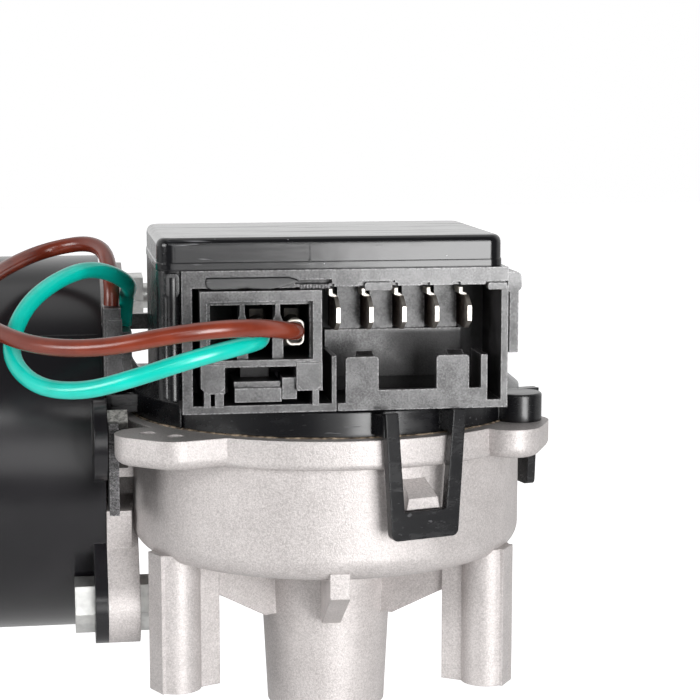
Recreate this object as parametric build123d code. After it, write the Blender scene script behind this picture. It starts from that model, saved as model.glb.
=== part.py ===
from build123d import *
from math import atan, cos, degrees, pi, radians, sin, tan
import os

# Geared windscreen wiper motor with a plug-in control box on its gear cover.
# Millimetres. The output shaft turns about the z axis and the feet stand on z = 0.
# The motor lies along x behind the shaft and runs towards -x; the sockets face -y.
os.makedirs("parts", exist_ok=True)

# ---- clearances -------------------------------------------------------------------
seat_gap = 0.05          # between pieces pressed or bonded together
running_gap = 0.04       # radial, shaft in bush
free_gap = 0.3           # between pieces that pass without touching

# ---- worm gear --------------------------------------------------------------------
gear_module = 1.25
wheel_teeth = 46
worm_pitch_radius = 5.25
tooth_backlash = 0.24    # taken off each tooth and each thread flank pair
pressure_angle = 20.0
wheel_face = 9.0
worm_thread_length = 26.0

wheel_pitch_radius = gear_module * wheel_teeth / 2
worm_pitch = pi * gear_module
lead_angle = degrees(atan(gear_module / (2 * worm_pitch_radius)))
tooth_flank = tan(radians(pressure_angle))
worm_tip_radius = worm_pitch_radius + gear_module
worm_root_radius = worm_pitch_radius - 1.2 * gear_module
wheel_tip_radius = wheel_pitch_radius + gear_module
wheel_root_radius = wheel_pitch_radius - 1.2 * gear_module

# ---- die-cast gear case -----------------------------------------------------------
rim_height = 54.0        # rim face above the feet
case_radius = 39.8
case_wall = 2.8
case_depth = 28.0
case_floor = 4.0
case_round = 4.5
rim_width = 3.0           # rim outside the bowl
rim_radius = case_radius + rim_width
rim_thickness = 5.7
rim_round = 1.2
lug_radius = 6.3
lug_round = 2.0
boss_lug_radius = 6.0
boss_angles = (56.3, 122.0)
boss_circle = case_radius + 2.5
shoulder_angles = (47.0, 131.3)
shoulder_circle = case_radius + 4.2
boss_peg_radius = 1.5
boss_peg_depth = 4.0
peg_lug_holes = ((-53.6, case_radius + 7.4), (-45.9, case_radius + 6.2))
peg_hole_radius = 1.6
peg_hole_depth = 3.0
foot_circle = 35.8
foot_radius = 4.8
foot_fin = 8.4           # fin from the foot towards the shaft
foot_fin_thickness = 5.2
foot_angles = (-64.0, 56.0, 176.0)
foot_thread_radius = 3.0
foot_thread_depth = 14.0
rib_thickness = 3.8
rib_drop = 14.0
rib_end_drop = 2.5
boss_radius = 14.0
boss_end_radius = 12.2
boss_reach = 8.0         # shaft boss below the feet face

case_bottom = rim_height - case_depth
floor_top = case_bottom + case_floor
cavity_radius = case_radius - case_wall

# ---- worm axis and its tunnel -----------------------------------------------------
worm_drop = 12.0         # worm axis below the rim face
tunnel_wall = 3.6
tunnel_gap = 0.9         # worm tip to tunnel wall
tunnel_end = 33.0
worm_y = wheel_pitch_radius + worm_pitch_radius
worm_z = rim_height - worm_drop
tunnel_bore = worm_tip_radius + tunnel_gap
tunnel_radius = tunnel_bore + tunnel_wall

# ---- motor flange and its fastenings ----------------------------------------------
flange_gap = 5.6         # bowl to the joint face between gear case and motor
flange_x = -(case_radius + flange_gap)
flange_thickness = 5.0
flange_radius = 41.5
flange_top = 24.0        # flat top above the worm axis
ear_radius = 8.0
ear_circle = 46.0
ear_angles = (37.0, 217.0)
ear_extra = 1.4          # ears stand proud of the flange
ear_root_radius = 14.0
bolt_radius = 3.0
bolt_hole_radius = 3.3
bolt_end = 1.5            # bolt past its nut
hex_across_flats = 10.0
bolt_head = 4.0
nut_height = 5.0

# ---- bearings ---------------------------------------------------------------------
shaft_radius = 5.0
bearing_outer = 13.0
bearing_width = 8.0
ring_wall = 2.3
ball_radius = 2.3
ball_count = 8
hub_wall = 3.4
end_bush_length = 8.0
end_bush_radius = 6.0
end_journal_radius = 3.9
thrust_screw_radius = 5.0
thrust_slot = 1.4
thrust_screw_proud = 4.0
lock_nut_height = 2.7
lock_nut_flats = 15.0

# ---- output shaft -----------------------------------------------------------------
output_radius = 6.0
bush_wall = 2.0
bush_length = 13.0
output_plain = 8.0       # plain stretch below the boss
taper_length = 10.0
taper_end_radius = 5.2
thread_radius = 5.0
thread_length = 11.0
wheel_hub_radius = 11.0
wheel_hub_height = 17.0
wheel_web = 4.0
wheel_rim_depth = 3.6
washer_thickness = 1.0
circlip_thickness = 1.2
circlip_groove = 0.6
seal_height = 3.0

# ---- motor ------------------------------------------------------------------------
yoke_radius = 40.5
yoke_wall = 2.0
yoke_end_gap = 6.6        # end turns to the closed end of the yoke
yoke_round = 6.0
rear_cup_radius = 11.0
rear_cup_depth = 8.0
rear_bush_length = 7.0
retainer_thickness = 1.0
yoke_ear_thickness = 2.6
front_ear_angle = 170.0
front_ear_circle = case_radius + 12.0
front_ear_root_radius = 9.0
magnet_thickness = 7.0
magnet_length = 46.0
magnet_span = 68.0
magnet_count = 4
air_gap = 0.8
core_length = 40.0
core_slots = 12
slot_width = 2.6
slot_depth = 11.0
core_offset = 34.0       # flange face to core end
winding_overhang = 7.4
yoke_length = core_offset + core_length + winding_overhang + yoke_end_gap
commutator_radius = 12.0
commutator_length = 15.0
commutator_bars = 20
commutator_offset = 9.0  # flange face to commutator end

# ---- brush gear -------------------------------------------------------------------
plate_thickness = 3.6
brush_axial = 6.0
brush_wide = 8.0
brush_lift = 2.0         # outward travel in the holder
holder_wall = 0.8
holder_height = 13.0
spring_radius = 2.5
spring_wire = 0.35
spring_turns = 4
spring_length = 6.5

# ---- cable tower on the brush plate -----------------------------------------------
tower_low_y = -6.0
tower_high_y = 9.0
tower_base_z = rim_height + 5.2
tower_top_z = rim_height + 21.4
tower_step_z = rim_height + 16.6
tower_step_x = flange_x + 3.5
tower_right_x = flange_x + 5.6
tower_split_y = 2.3       # the tall part ends here, beside the green lead
arm_low_y = 6.6
arm_thickness = 2.0
arm_height = 3.2
arm_reach = 7.4
lead_radius = 1.6

# ---- gear cover -------------------------------------------------------------------
cover_radius = case_radius
cover_wall = 2.2
skirt_height = 4.8
crown_inset = 5.7
cover_crown_radius = cover_radius - crown_inset
cover_crown_height = 9.6
box_floor_height = 7.8     # underside of the control box above the rim
seal_width = 1.6
seal_thickness = 1.5
seal_inset = 1.6
loop_angles = (-90.0, 16.6, 102.5)
loop_lifts = (4.4, 5.4, 2.2)
loop_gap = 0.4            # rim to loop
loop_width_top = 16.8
loop_width_bottom = 13.8
loop_leg = 2.5
loop_corner = 1.3
loop_thickness = 1.8
loop_drop = 18.8
loop_bar = 5.3
catch_gap = 0.2           # bar of the loop to the underside of the wedge
catch_width = 6.9
catch_top_width = 4.9
catch_lip = 2.1
catch_height = 5.0
catch_reach = 4.2
cover_boss_radius = 4.6
cover_boss_height = 5.5

# ---- control box ------------------------------------------------------------------
box_left = -36.4
box_right = 28.1
face_gap = 0.2           # bowl to the front face of the sockets
face_y = -(case_radius + face_gap)
box_inset = 1.4          # box walls behind the front face of the sockets
box_front = face_y + box_inset
box_rear = 1.0
box_wall = 1.8
lid_height = 6.0
lid_corner = 3.0
lid_round = 1.4
lid_inset = 0.3          # lid behind the front face of the sockets
lid_front = face_y + lid_inset

# ---- connector housing ------------------------------------------------------------
block_left = -32.1
block_right = 29.0
block_base = rim_height + 5.3
block_height = 26.5
block_depth = 18.0
socket_depth = 15.8
top_wall = 3.2
base_wall = 1.5
side_wall = 1.3
left_side_wall = 1.9
left_socket_right = -4.4
partition = 0.9
partition_height = 10.4
bar_left = -27.5
bar_right = -10.5
bar_drop = 1.3
bar_height = 2.0
bar_proud = 0.5
partition_top = block_base + partition_height
lid_base = block_base + block_height
lid_top = lid_base + lid_height

# ---- five-way side ----------------------------------------------------------------
blade_count = 5
blade_pitch = 6.3
first_blade_x = -2.3
blade_thickness = 0.8
blade_height = 6.3
blade_reach = 10.0
blade_low_z = block_base + 14.1
blade_chamfer = 1.7
blade_taper = 3.0
comb_right = 22.6
comb_ledge = 3.0
comb_ledge_z = block_base + 13.7
pillar_width = 4.4
pillar_reach = 2.0
guard_height = 3.8
guard_thickness = 1.4
guard_tab_width = 6.2
guard_tab_x = (-1.8, 15.4)
guard_tab_top = block_base + 10.1
guard_hook = 2.4
guard_rib_x = 23.9
guard_rib_width = 1.2

# ---- three-way plug ---------------------------------------------------------------
plug_left = -28.9
plug_right = -6.5
plug_base = block_base + base_wall
plug_top = plug_base + 21.4
plug_proud = 2.0
plug_face = face_y - plug_proud
plug_length = 16.5
plug_wall = 1.3
cell_pitch = 6.55
cell_width = 5.3
cell_low_z = plug_base + 8.7
cell_high_z = plug_base + 18.6
cell_count = 3
window_depth = 2.6
divider_flare = 1.3
side_lug_left = 4.4       # widths of the two side lugs
side_lug_right = 4.8
side_lug_proud = 0.4
side_lug_left_low = 2.6
side_lug_right_low = 2.9
lug_chamfer = 1.1
foot_bars = ((0.6, 1.2), (2.6, 1.6), (20.6, 1.2))
foot_bar_height = 4.0
crimp_inset = 3.4
crimp_y = plug_face + crimp_inset
crimp_height = 4.8
crimp_width = 3.7
barrel_length = 6.0
terminal_height = 7.0
terminal_width = 2.6

# ---- circuit board ----------------------------------------------------------------
board_height = 14.0       # board above the rim
board_thickness = 1.6
board_gap = 0.8
relay_size = (16.0, 12.0, 13.4)
relay_right = 0.0
sensor_size = (4.2, 1.6, 3.8)
sensor_x = 4.0

# ---- leads ------------------------------------------------------------------------
brown_route = [
    (-43.6, -1.6, 75.5), (-43.3, -1.5, 81.5), (-45.2, 13.1, 87.5),
    (-56.8, 19.9, 85.2), (-65.9, 7.2, 82.0), (-70.2, -8.1, 79.6),
    (-71.2, -21.9, 77.2), (-66.9, -35.3, 75.4), (-58.6, -46.8, 73.4),
    (-47.0, -55.4, 73.9), (-33.1, -61.2, 77.3), (-20.1, -57.7, 77.6),
    (-11.2, -47.5, 75.2), (-11.2, -38.8, 74.4),
]
green_route = [
    (-41.0, 4.2, 70.8), (-40.5, 3.9, 76.5), (-39.6, -4.1, 80.3),
    (-47.0, -12.8, 84.4), (-54.1, -21.5, 83.1), (-60.7, -29.4, 78.6),
    (-63.8, -35.7, 70.8), (-59.1, -43.8, 65.8), (-50.6, -51.2, 65.7),
    (-41.4, -56.7, 68.9), (-30.7, -58.5, 72.5), (-21.6, -54.4, 74.0),
    (-17.7, -46.8, 74.0), (-17.7, -38.8, 74.4),
]

BASE = (Align.CENTER, Align.CENTER, Align.MIN)


# ---- shared shapes ----------------------------------------------------------------
def block(x0, x1, y0, y1, z0, z1):
    return Pos(x0, y0, z0) * Box(x1 - x0, y1 - y0, z1 - z0, align=Align.MIN)


def upright(x, y, z0, z1, radius):
    return Pos(x, y, z0) * Cylinder(radius, z1 - z0, align=BASE)


def along_x(x0, x1, radius, y=worm_y, z=worm_z):
    return Pos(x0, y, z) * Rot(0, 90, 0) * Cylinder(radius, x1 - x0, align=BASE)


def cross_plane(x):
    """Plane across the motor axis: its axes are y and z, its origin the worm axis."""
    return Plane(origin=(x, worm_y, worm_z), x_dir=(0, 1, 0), z_dir=(1, 0, 0))


def turned(angle):
    """Carries a feature built at the front (-y) round the output shaft."""
    return Rot(0, 0, angle)


def round_point(angle, radius):
    """Point on a circle about the output shaft, the angle counted from -y to +x."""
    return (radius * sin(radians(angle)), -radius * cos(radians(angle)))


def polar(angle, radius):
    return (radius * cos(radians(angle)), radius * sin(radians(angle)))


def hull(circles):
    """Plate outline wrapped round (x, y, radius) circles."""
    rounds = [Pos(x, y) * Circle(radius) for x, y, radius in circles]
    return make_hull(ShapeList(edge for disc in rounds for edge in disc.edges()))


def hex_prism(x0, x1, y, z, turn=7.0):
    side = RegularPolygon(hex_across_flats / 2, 6, major_radius=False)
    return extrude(Plane((x0, y, z), x_dir=(0, 1, 0), z_dir=(1, 0, 0)) * Rot(0, 0, turn) * side, x1 - x0)


# ---- gear case --------------------------------------------------------------------
def case_lug(circles):
    plate = Pos(0, 0, rim_height - rim_thickness) * extrude(hull(circles), rim_thickness)
    return fillet(plate.edges().group_by(Axis.Z)[0], lug_round)


def case_lugs():
    inner = rim_radius - lug_radius
    pegs = [round_point(angle, radius) + (lug_radius,) for angle, radius in peg_lug_holes]
    pegs.append(round_point(peg_lug_holes[1][0] + 8, inner) + (lug_radius,))
    lugs = [case_lug(pegs)]
    for angle, shoulder in zip(boss_angles, shoulder_angles):
        ends = [round_point(angle, boss_circle), round_point(shoulder, shoulder_circle)]
        lugs.append(case_lug([end + (boss_lug_radius,) for end in ends]))
    return lugs


def catch_wedge(angle):
    """Ramp on the bowl wall, narrower at the top, that a snap loop hooks under."""
    low = rim_height - loop_drop + loop_bar + catch_gap
    high = low + catch_height
    inner = case_radius - 1
    outer = case_radius + catch_reach
    side = Polyline(
        (-inner, low), (-outer, low), (-outer, low + catch_lip),
        (-case_radius, high), (-inner, high), close=True,
    )
    wide = catch_width / 2
    narrow = catch_top_width / 2
    front = Polyline((-wide, low), (wide, low), (narrow, high), (-narrow, high), close=True)
    ramp = extrude(Plane.YZ * make_face(side), catch_width, both=True)
    return turned(angle) * (ramp & extrude(Plane.XZ * make_face(front), outer + 1))


def ear_outline(angle, circle=ear_circle, root_radius=ear_root_radius):
    y, z = polar(angle, circle)
    return hull([(y, z, ear_radius), (0.6 * y, 0.6 * z, root_radius)])


def motor_flange():
    disc = Circle(flange_radius)
    disc -= Pos(0, flange_top) * Rectangle(2 * flange_radius, flange_radius, align=(Align.CENTER, Align.MIN))
    plate = extrude(cross_plane(flange_x) * disc, flange_thickness)
    for angle in ear_angles:
        plate += extrude(cross_plane(flange_x) * ear_outline(angle), flange_thickness + ear_extra)
    return plate


def flange_notch():
    """Clears the cable tower, down to the level that the snap loops reach."""
    return block(
        flange_x - 1, flange_x + flange_thickness + 1,
        worm_y - flange_radius - 1, tower_high_y + 2 * free_gap,
        rim_height - loop_drop - 0.8, worm_z + flange_radius,
    )


def shaft_boss():
    top = Plane.XY.offset(case_bottom + 1) * Circle(boss_radius)
    end = Plane.XY.offset(-boss_reach) * Circle(boss_end_radius)
    return loft([end, top])


def foot(angle):
    """Tapped pillar with a flat fin towards the shaft."""
    half = foot_fin_thickness / 2
    outer = foot_circle + foot_radius
    fin = block(-half, half, -outer, -(foot_circle - foot_fin), 0, case_bottom + 2)
    pillar = upright(0, -foot_circle, 0, case_bottom + 2, foot_radius)
    return turned(angle) * (pillar + fin)


def underside_rib(angle, reach, drop, thickness):
    rib = block(-thickness / 2, thickness / 2, -reach, 0, case_bottom - drop, case_bottom + 2)
    low = case_bottom - drop - 1
    slope = make_face(Polyline(
        (-reach - 1, case_bottom - rib_end_drop), (-reach - 1, low), (-boss_radius, low), close=True,
    ))
    return turned(angle) * (rib - extrude(Plane.YZ * slope, thickness, both=True))


def gear_case_solid():
    bowl = upright(0, 0, case_bottom, rim_height, case_radius)
    bowl = fillet(bowl.edges().group_by(Axis.Z)[0], case_round)
    rim = upright(0, 0, rim_height - rim_thickness, rim_height, rim_radius)
    rim = fillet(rim.edges().group_by(Axis.Z)[0], rim_round)
    hub_end = flange_x + bearing_width + hub_wall
    case = bowl + rim + case_lugs() + shaft_boss()
    case += [catch_wedge(angle) for angle in loop_angles]
    case += motor_flange() - flange_notch()
    case += along_x(flange_x, hub_end, bearing_outer + hub_wall)
    case += along_x(flange_x, tunnel_end, tunnel_radius)
    case += [foot(angle) for angle in foot_angles]
    case += [underside_rib(angle, foot_circle, rib_drop, rib_thickness - 1) for angle in foot_angles]
    case += [underside_rib(angle + 60, case_radius - 0.4, rib_drop, rib_thickness) for angle in foot_angles]
    return case


def gear_case_cuts():
    bush_outer = output_radius + bush_wall + seat_gap
    cuts = [
        upright(0, 0, floor_top, rim_height + 1, cavity_radius),
        upright(0, 0, -boss_reach - 1, floor_top + 1, bush_outer),
        along_x(flange_x - 1, flange_x + bearing_width, bearing_outer + seat_gap),
        along_x(flange_x, end_bush_x(), tunnel_bore),
        along_x(flange_x, end_bush_x() + end_bush_length, end_bush_radius + seat_gap),
        along_x(flange_x, tunnel_end + 1, thrust_screw_radius + seat_gap),
        along_x(tunnel_end, tunnel_end + lock_nut_flats, 0.6 * lock_nut_flats),
    ]
    for angle in foot_angles:
        x, y = round_point(angle, foot_circle)
        cuts.append(upright(x, y, -1, foot_thread_depth, foot_thread_radius))
    for angle, radius in peg_lug_holes:
        x, y = round_point(angle, radius)
        cuts.append(upright(x, y, rim_height - peg_hole_depth, rim_height + 1, peg_hole_radius))
    for angle in boss_angles:
        x, y = round_point(angle, boss_circle)
        low = rim_height - boss_peg_depth - free_gap
        cuts.append(upright(x, y, low, rim_height + 1, boss_peg_radius + seat_gap))
    for angle in ear_angles:
        y, z = polar(angle, ear_circle)
        cuts.append(along_x(flange_x - 1, flange_x + 10, bolt_hole_radius, worm_y + y, worm_z + z))
    return cuts


def gear_case():
    return gear_case_solid() - gear_case_cuts()


# ---- bushes, thrust screw and ball bearing ----------------------------------------
def end_bush_x():
    """Start of the end bush, clear of the worm thread and outside the wheel cavity."""
    return worm_thread_length / 2 + 8


def bush(x0, length, outer, inner):
    return along_x(x0, x0 + length, outer) - along_x(x0 - 1, x0 + length + 1, inner)


def worm_end_bush():
    return bush(end_bush_x(), end_bush_length, end_bush_radius, end_journal_radius + running_gap)


def thrust_screw():
    start = end_bush_x() + end_bush_length + free_gap
    end = tunnel_end + thrust_screw_proud
    screw = along_x(start, end, thrust_screw_radius)
    slot = block(
        end - 2, end + 1, worm_y - thrust_screw_radius - 1, worm_y + thrust_screw_radius + 1,
        worm_z - thrust_slot / 2, worm_z + thrust_slot / 2,
    )
    return chamfer(screw.edges().sort_by(Axis.X)[-1], 0.6) - slot


def thrust_lock_nut():
    hexagon = RegularPolygon(lock_nut_flats / 2, 6, major_radius=False)
    ring = hexagon - Circle(thrust_screw_radius + seat_gap)
    return extrude(cross_plane(tunnel_end) * ring, lock_nut_height)


def bearing_groove(radius_track):
    middle = Pos(flange_x + bearing_width / 2, worm_y, worm_z)
    return middle * Rot(0, 90, 0) * Torus(radius_track, ball_radius + 0.06)


def bearing_track_radius():
    return (bearing_outer - ring_wall + shaft_radius + ring_wall) / 2


def bearing_outer_ring():
    ring = bush(flange_x, bearing_width, bearing_outer, bearing_outer - ring_wall)
    return ring - bearing_groove(bearing_track_radius())


def bearing_inner_ring():
    ring = bush(flange_x, bearing_width, shaft_radius + ring_wall, shaft_radius + seat_gap)
    return ring - bearing_groove(bearing_track_radius())


def bearing_balls():
    balls = []
    for index in range(ball_count):
        y, z = polar(360 * index / ball_count, bearing_track_radius())
        balls.append(Pos(flange_x + bearing_width / 2, worm_y + y, worm_z + z) * Sphere(ball_radius))
    return balls


# ---- output shaft and worm wheel --------------------------------------------------
def output_bush(z0):
    outer = output_radius + bush_wall
    bore = upright(0, 0, z0 - 1, z0 + bush_length + 1, output_radius + running_gap)
    return upright(0, 0, z0, z0 + bush_length, outer) - bore


def hub_low():
    return floor_top + washer_thickness + 0.1


def wheel_low():
    return worm_z - wheel_face / 2


def output_shaft():
    plain_end = -boss_reach - output_plain
    taper_end = plain_end - taper_length
    shaft = upright(0, 0, plain_end, hub_low() + wheel_hub_height, output_radius)
    taper = loft([
        Plane.XY.offset(taper_end) * Circle(taper_end_radius),
        Plane.XY.offset(plain_end) * Circle(output_radius),
    ])
    thread = upright(0, 0, taper_end - thread_length, taper_end, thread_radius)
    thread = chamfer(thread.edges().sort_by(Axis.Z)[0], 0.8)
    shaft = shaft + taper + thread
    return shaft - circlip_ring(output_radius - circlip_groove, 0.0)


def circlip_ring(inner, slack):
    top = -boss_reach - seal_height - 0.4
    low = top - circlip_thickness - 0.1 + slack
    high = top + 0.1 - slack
    return upright(0, 0, low, high, output_radius + 1.8) - upright(0, 0, low - 1, high + 1, inner)


def shaft_circlip():
    ring = circlip_ring(output_radius - circlip_groove + seat_gap, 0.1)
    gap = block(-1.6, 1.6, 0, output_radius + 3, -boss_reach - 20, 0)
    return ring - gap


def shaft_seal():
    low = -boss_reach - seal_height
    ring = upright(0, 0, low, -boss_reach, boss_end_radius - 1.5)
    return ring - upright(0, 0, low - 1, 0, output_radius + running_gap)


def thrust_washer():
    outer = output_radius + bush_wall + 2
    ring = upright(0, 0, floor_top, floor_top + washer_thickness, outer)
    return ring - upright(0, 0, floor_top - 1, floor_top + 3, output_radius + running_gap)


def wheel_tooth():
    """Tooth that leans by the lead angle, built behind the shaft where the worm runs."""
    half = worm_pitch / 4 - tooth_backlash / 2
    low = wheel_root_radius - wheel_pitch_radius - 0.4
    outline = Polyline(
        (-(half - low * tooth_flank), wheel_pitch_radius + low),
        (half - low * tooth_flank, wheel_pitch_radius + low),
        (half - gear_module * tooth_flank, wheel_tip_radius),
        (-(half - gear_module * tooth_flank), wheel_tip_radius),
        close=True,
    )
    lean = tan(radians(lead_angle))
    start = Pos(lean * wheel_face / 2, 0, wheel_low()) * make_face(outline)
    return extrude(start, wheel_face / cos(radians(lead_angle)), dir=(-lean, 0, 1))


def wheel_teeth_ring():
    """The worm thread stands at x = 0, so the wheel shows it a space between two teeth."""
    pitch_angle = 360 / wheel_teeth
    tooth = wheel_tooth()
    return [Rot(0, 0, (index + 0.5) * pitch_angle) * tooth for index in range(wheel_teeth)]


def worm_wheel():
    low = wheel_low()
    high = low + wheel_face
    rim = upright(0, 0, low, high, wheel_root_radius)
    rim -= upright(0, 0, low - 1, high + 1, wheel_root_radius - wheel_rim_depth)
    web_low = worm_z - wheel_web / 2
    web = upright(0, 0, web_low, web_low + wheel_web, wheel_root_radius - wheel_rim_depth + 0.5)
    hub = upright(0, 0, hub_low(), hub_low() + wheel_hub_height, wheel_hub_radius)
    wheel = rim + wheel_teeth_ring() + web + hub
    for index in range(6):
        web_end = wheel_root_radius - wheel_rim_depth + 0.5
        wheel += turned(60 * index) * block(-1, 1, wheel_hub_radius - 1, web_end, low + 1, high - 1)
    return wheel - upright(0, 0, 0, rim_height, output_radius + seat_gap)


def park_magnet():
    low = hub_low() + wheel_hub_height
    ring = upright(0, 0, low, low + 1.5, wheel_hub_radius)
    return ring - upright(0, 0, low - 1, low + 3, output_radius - 1)


# ---- armature ---------------------------------------------------------------------
def worm_thread():
    path = Helix(
        pitch=worm_pitch, height=worm_thread_length, radius=worm_pitch_radius,
        center=(-worm_thread_length / 2, 0, 0), direction=(1, 0, 0),
    )
    half = worm_pitch / 4 - tooth_backlash / 2
    low = worm_root_radius - worm_pitch_radius - 0.3
    start = path @ 0
    outline = Polyline(
        (low, -(half - low * tooth_flank)),
        (gear_module, -(half - gear_module * tooth_flank)),
        (gear_module, half - gear_module * tooth_flank),
        (low, half - low * tooth_flank),
        close=True,
    )
    section = Plane(origin=start, x_dir=Vector(0, start.Y, start.Z), z_dir=path % 0) * make_face(outline)
    return sweep(section, path=path, is_frenet=True)


def worm_phase():
    """Turns the worm so that a thread crest faces the wheel at x = 0."""
    turns_to_middle = worm_thread_length / 2 / worm_pitch
    crest_angle = 90 + 360 * turns_to_middle
    return 180 - crest_angle


def rear_journal_x():
    return flange_x - yoke_length - rear_cup_depth + yoke_wall + 2


def armature_shaft():
    thread = Pos(0, worm_y, worm_z) * Rot(worm_phase(), 0, 0) * worm_thread()
    worm_half = worm_thread_length / 2
    body = along_x(rear_journal_x(), -worm_half - 6, shaft_radius)
    neck = along_x(-worm_half - 6, end_bush_x(), worm_root_radius)
    journal = along_x(end_bush_x() - 3, end_bush_x() + end_bush_length, end_journal_radius)
    journal = chamfer(journal.edges().sort_by(Axis.X)[-1], 0.6)
    return body + neck + journal + thread


def core_x():
    return flange_x - core_offset - core_length


def core_radius():
    return yoke_radius - yoke_wall - seat_gap - magnet_thickness - air_gap


def armature_core():
    core = along_x(core_x(), core_x() + core_length, core_radius())
    slots = []
    for index in range(core_slots):
        slot = block(
            core_x() - 1, core_x() + core_length + 1, -slot_width / 2, slot_width / 2,
            core_radius() - slot_depth, core_radius() + 1,
        )
        slots.append(Pos(0, worm_y, worm_z) * Rot(360 * index / core_slots, 0, 0) * slot)
    return core - slots - along_x(core_x() - 1, core_x() + core_length + 1, shaft_radius + seat_gap)


def end_turns(x0, length):
    outer = core_radius() - 3
    inner = shaft_radius + 3
    ring = along_x(x0, x0 + length, outer) - along_x(x0 - 1, x0 + length + 1, inner)
    return fillet(ring.edges().group_by(Axis.X)[0] + ring.edges().group_by(Axis.X)[-1], 2.4)


def armature_windings():
    left = end_turns(core_x() - winding_overhang, winding_overhang)
    right = end_turns(core_x() + core_length, winding_overhang)
    coils = left + right
    fill = slot_width - 2 * seat_gap
    for index in range(core_slots):
        bar = block(
            core_x() - 3, core_x() + core_length + 3, -fill / 2, fill / 2,
            core_radius() - slot_depth + seat_gap, core_radius() - 4.5,
        )
        coils += Pos(0, worm_y, worm_z) * Rot(360 * index / core_slots, 0, 0) * bar
    return coils


def commutator_end():
    return flange_x - commutator_offset


def commutator():
    x1 = commutator_end()
    x0 = x1 - commutator_length
    drum = along_x(x0, x1, commutator_radius) + along_x(x0 - 2, x0, commutator_radius + 1.6)
    slits = []
    for index in range(commutator_bars):
        slit = block(x0 - 3, x1 + 1, -0.25, 0.25, commutator_radius - 1.2, commutator_radius + 3)
        slits.append(Pos(0, worm_y, worm_z) * Rot(360 * index / commutator_bars, 0, 0) * slit)
    return drum - slits - along_x(x0 - 3, x1 + 1, shaft_radius + seat_gap)


# ---- motor yoke and field ---------------------------------------------------------
def yoke_ears():
    outlines = [ear_outline(angle) for angle in ear_angles]
    outlines.append(ear_outline(front_ear_angle, front_ear_circle, front_ear_root_radius))
    start = cross_plane(flange_x - yoke_ear_thickness)
    return [extrude(start * outline, yoke_ear_thickness) for outline in outlines]


def motor_yoke():
    rear = flange_x - yoke_length
    can = along_x(rear, flange_x, yoke_radius)
    can = fillet(can.edges().group_by(Axis.X)[0], yoke_round)
    cup = along_x(rear - rear_cup_depth, rear + yoke_round, rear_cup_radius)
    cup = fillet(cup.edges().group_by(Axis.X)[0], 2.0)
    hollow = along_x(rear + yoke_wall, flange_x + 1, yoke_radius - yoke_wall)
    hollow = fillet(hollow.edges().group_by(Axis.X)[0], yoke_round - yoke_wall)
    pocket = along_x(rear - rear_cup_depth + yoke_wall, rear + yoke_round, rear_cup_radius - yoke_wall)
    yoke = can + cup + yoke_ears() - hollow - pocket
    holes = [(angle, ear_circle) for angle in ear_angles] + [(front_ear_angle, front_ear_circle)]
    for angle, circle in holes:
        y, z = ear_point(angle, circle)
        yoke -= along_x(flange_x - 8, flange_x + 1, bolt_hole_radius, y, z)
    return yoke


def ring_of(shape, count):
    """Copies of a shape, evenly round the motor axis."""
    there = Pos(0, worm_y, worm_z)
    back = Pos(0, -worm_y, -worm_z)
    return [there * Rot(360 / count * index, 0, 0) * back * shape for index in range(count)]


def arc_segment(inner, outer, span):
    ring = Circle(outer) - Circle(inner)
    far = 2 * outer
    wedge = make_face(Polyline((0, 0), polar(-span / 2, far), polar(span / 2, far), close=True))
    return ring & wedge


def field_magnets():
    outer = yoke_radius - yoke_wall - seat_gap
    outline = arc_segment(outer - magnet_thickness, outer, magnet_span)
    x0 = core_x() + (core_length - magnet_length) / 2
    first = extrude(cross_plane(x0) * Rot(0, 0, 45) * outline, magnet_length)
    return ring_of(first, magnet_count)


def magnet_clips():
    outer = yoke_radius - yoke_wall - seat_gap
    gap_angle = 360 / magnet_count - magnet_span
    outline = arc_segment(outer - 2.2, outer, gap_angle - 1.2)
    x0 = core_x() + (core_length - magnet_length) / 2
    clip = extrude(cross_plane(x0) * outline, magnet_length)
    return ring_of(clip, magnet_count)


def rear_bush():
    start = rear_journal_x() - 1
    return bush(start, rear_bush_length, rear_cup_radius - yoke_wall - seat_gap, shaft_radius + running_gap)


def bearing_retainer():
    start = rear_journal_x() - 1 + rear_bush_length
    ring = bush(start, retainer_thickness, rear_cup_radius - yoke_wall - seat_gap, shaft_radius + 1.5)
    for index in range(6):
        slot = block(start - 1, start + 2, -0.6, 0.6, shaft_radius + 1, shaft_radius + 3)
        ring -= Pos(0, worm_y, worm_z) * Rot(60 * index, 0, 0) * slot
    return ring


# ---- brush gear -------------------------------------------------------------------
def brush_x():
    return commutator_end() - commutator_length / 2


def brush_side(sign):
    """Place of the upper (1) or lower (-1) brush, measured from the motor axis."""
    return Pos(brush_x(), worm_y, worm_z) * Rot(90 - 90 * sign, 0, 0)


def brush_face():
    return commutator_radius + 0.1


def holder_low():
    return commutator_radius + 1.5


def tower_gusset():
    """Curved foot of the tower over the edge of the gear cover."""
    profile = Polyline(
        (tower_right_x - 0.1, rim_height + 12.0), (tower_right_x + 0.5, rim_height + 10.2),
        (tower_right_x + 1.2, rim_height + 9.1), (tower_right_x + 2.0, rim_height + 8.4),
        (tower_right_x + 2.0, rim_height + 7.1), (tower_right_x - 0.1, rim_height + 5.4), close=True,
    )
    return Pos(0, 3, 0) * extrude(Plane.XZ * make_face(profile), 4)


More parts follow.
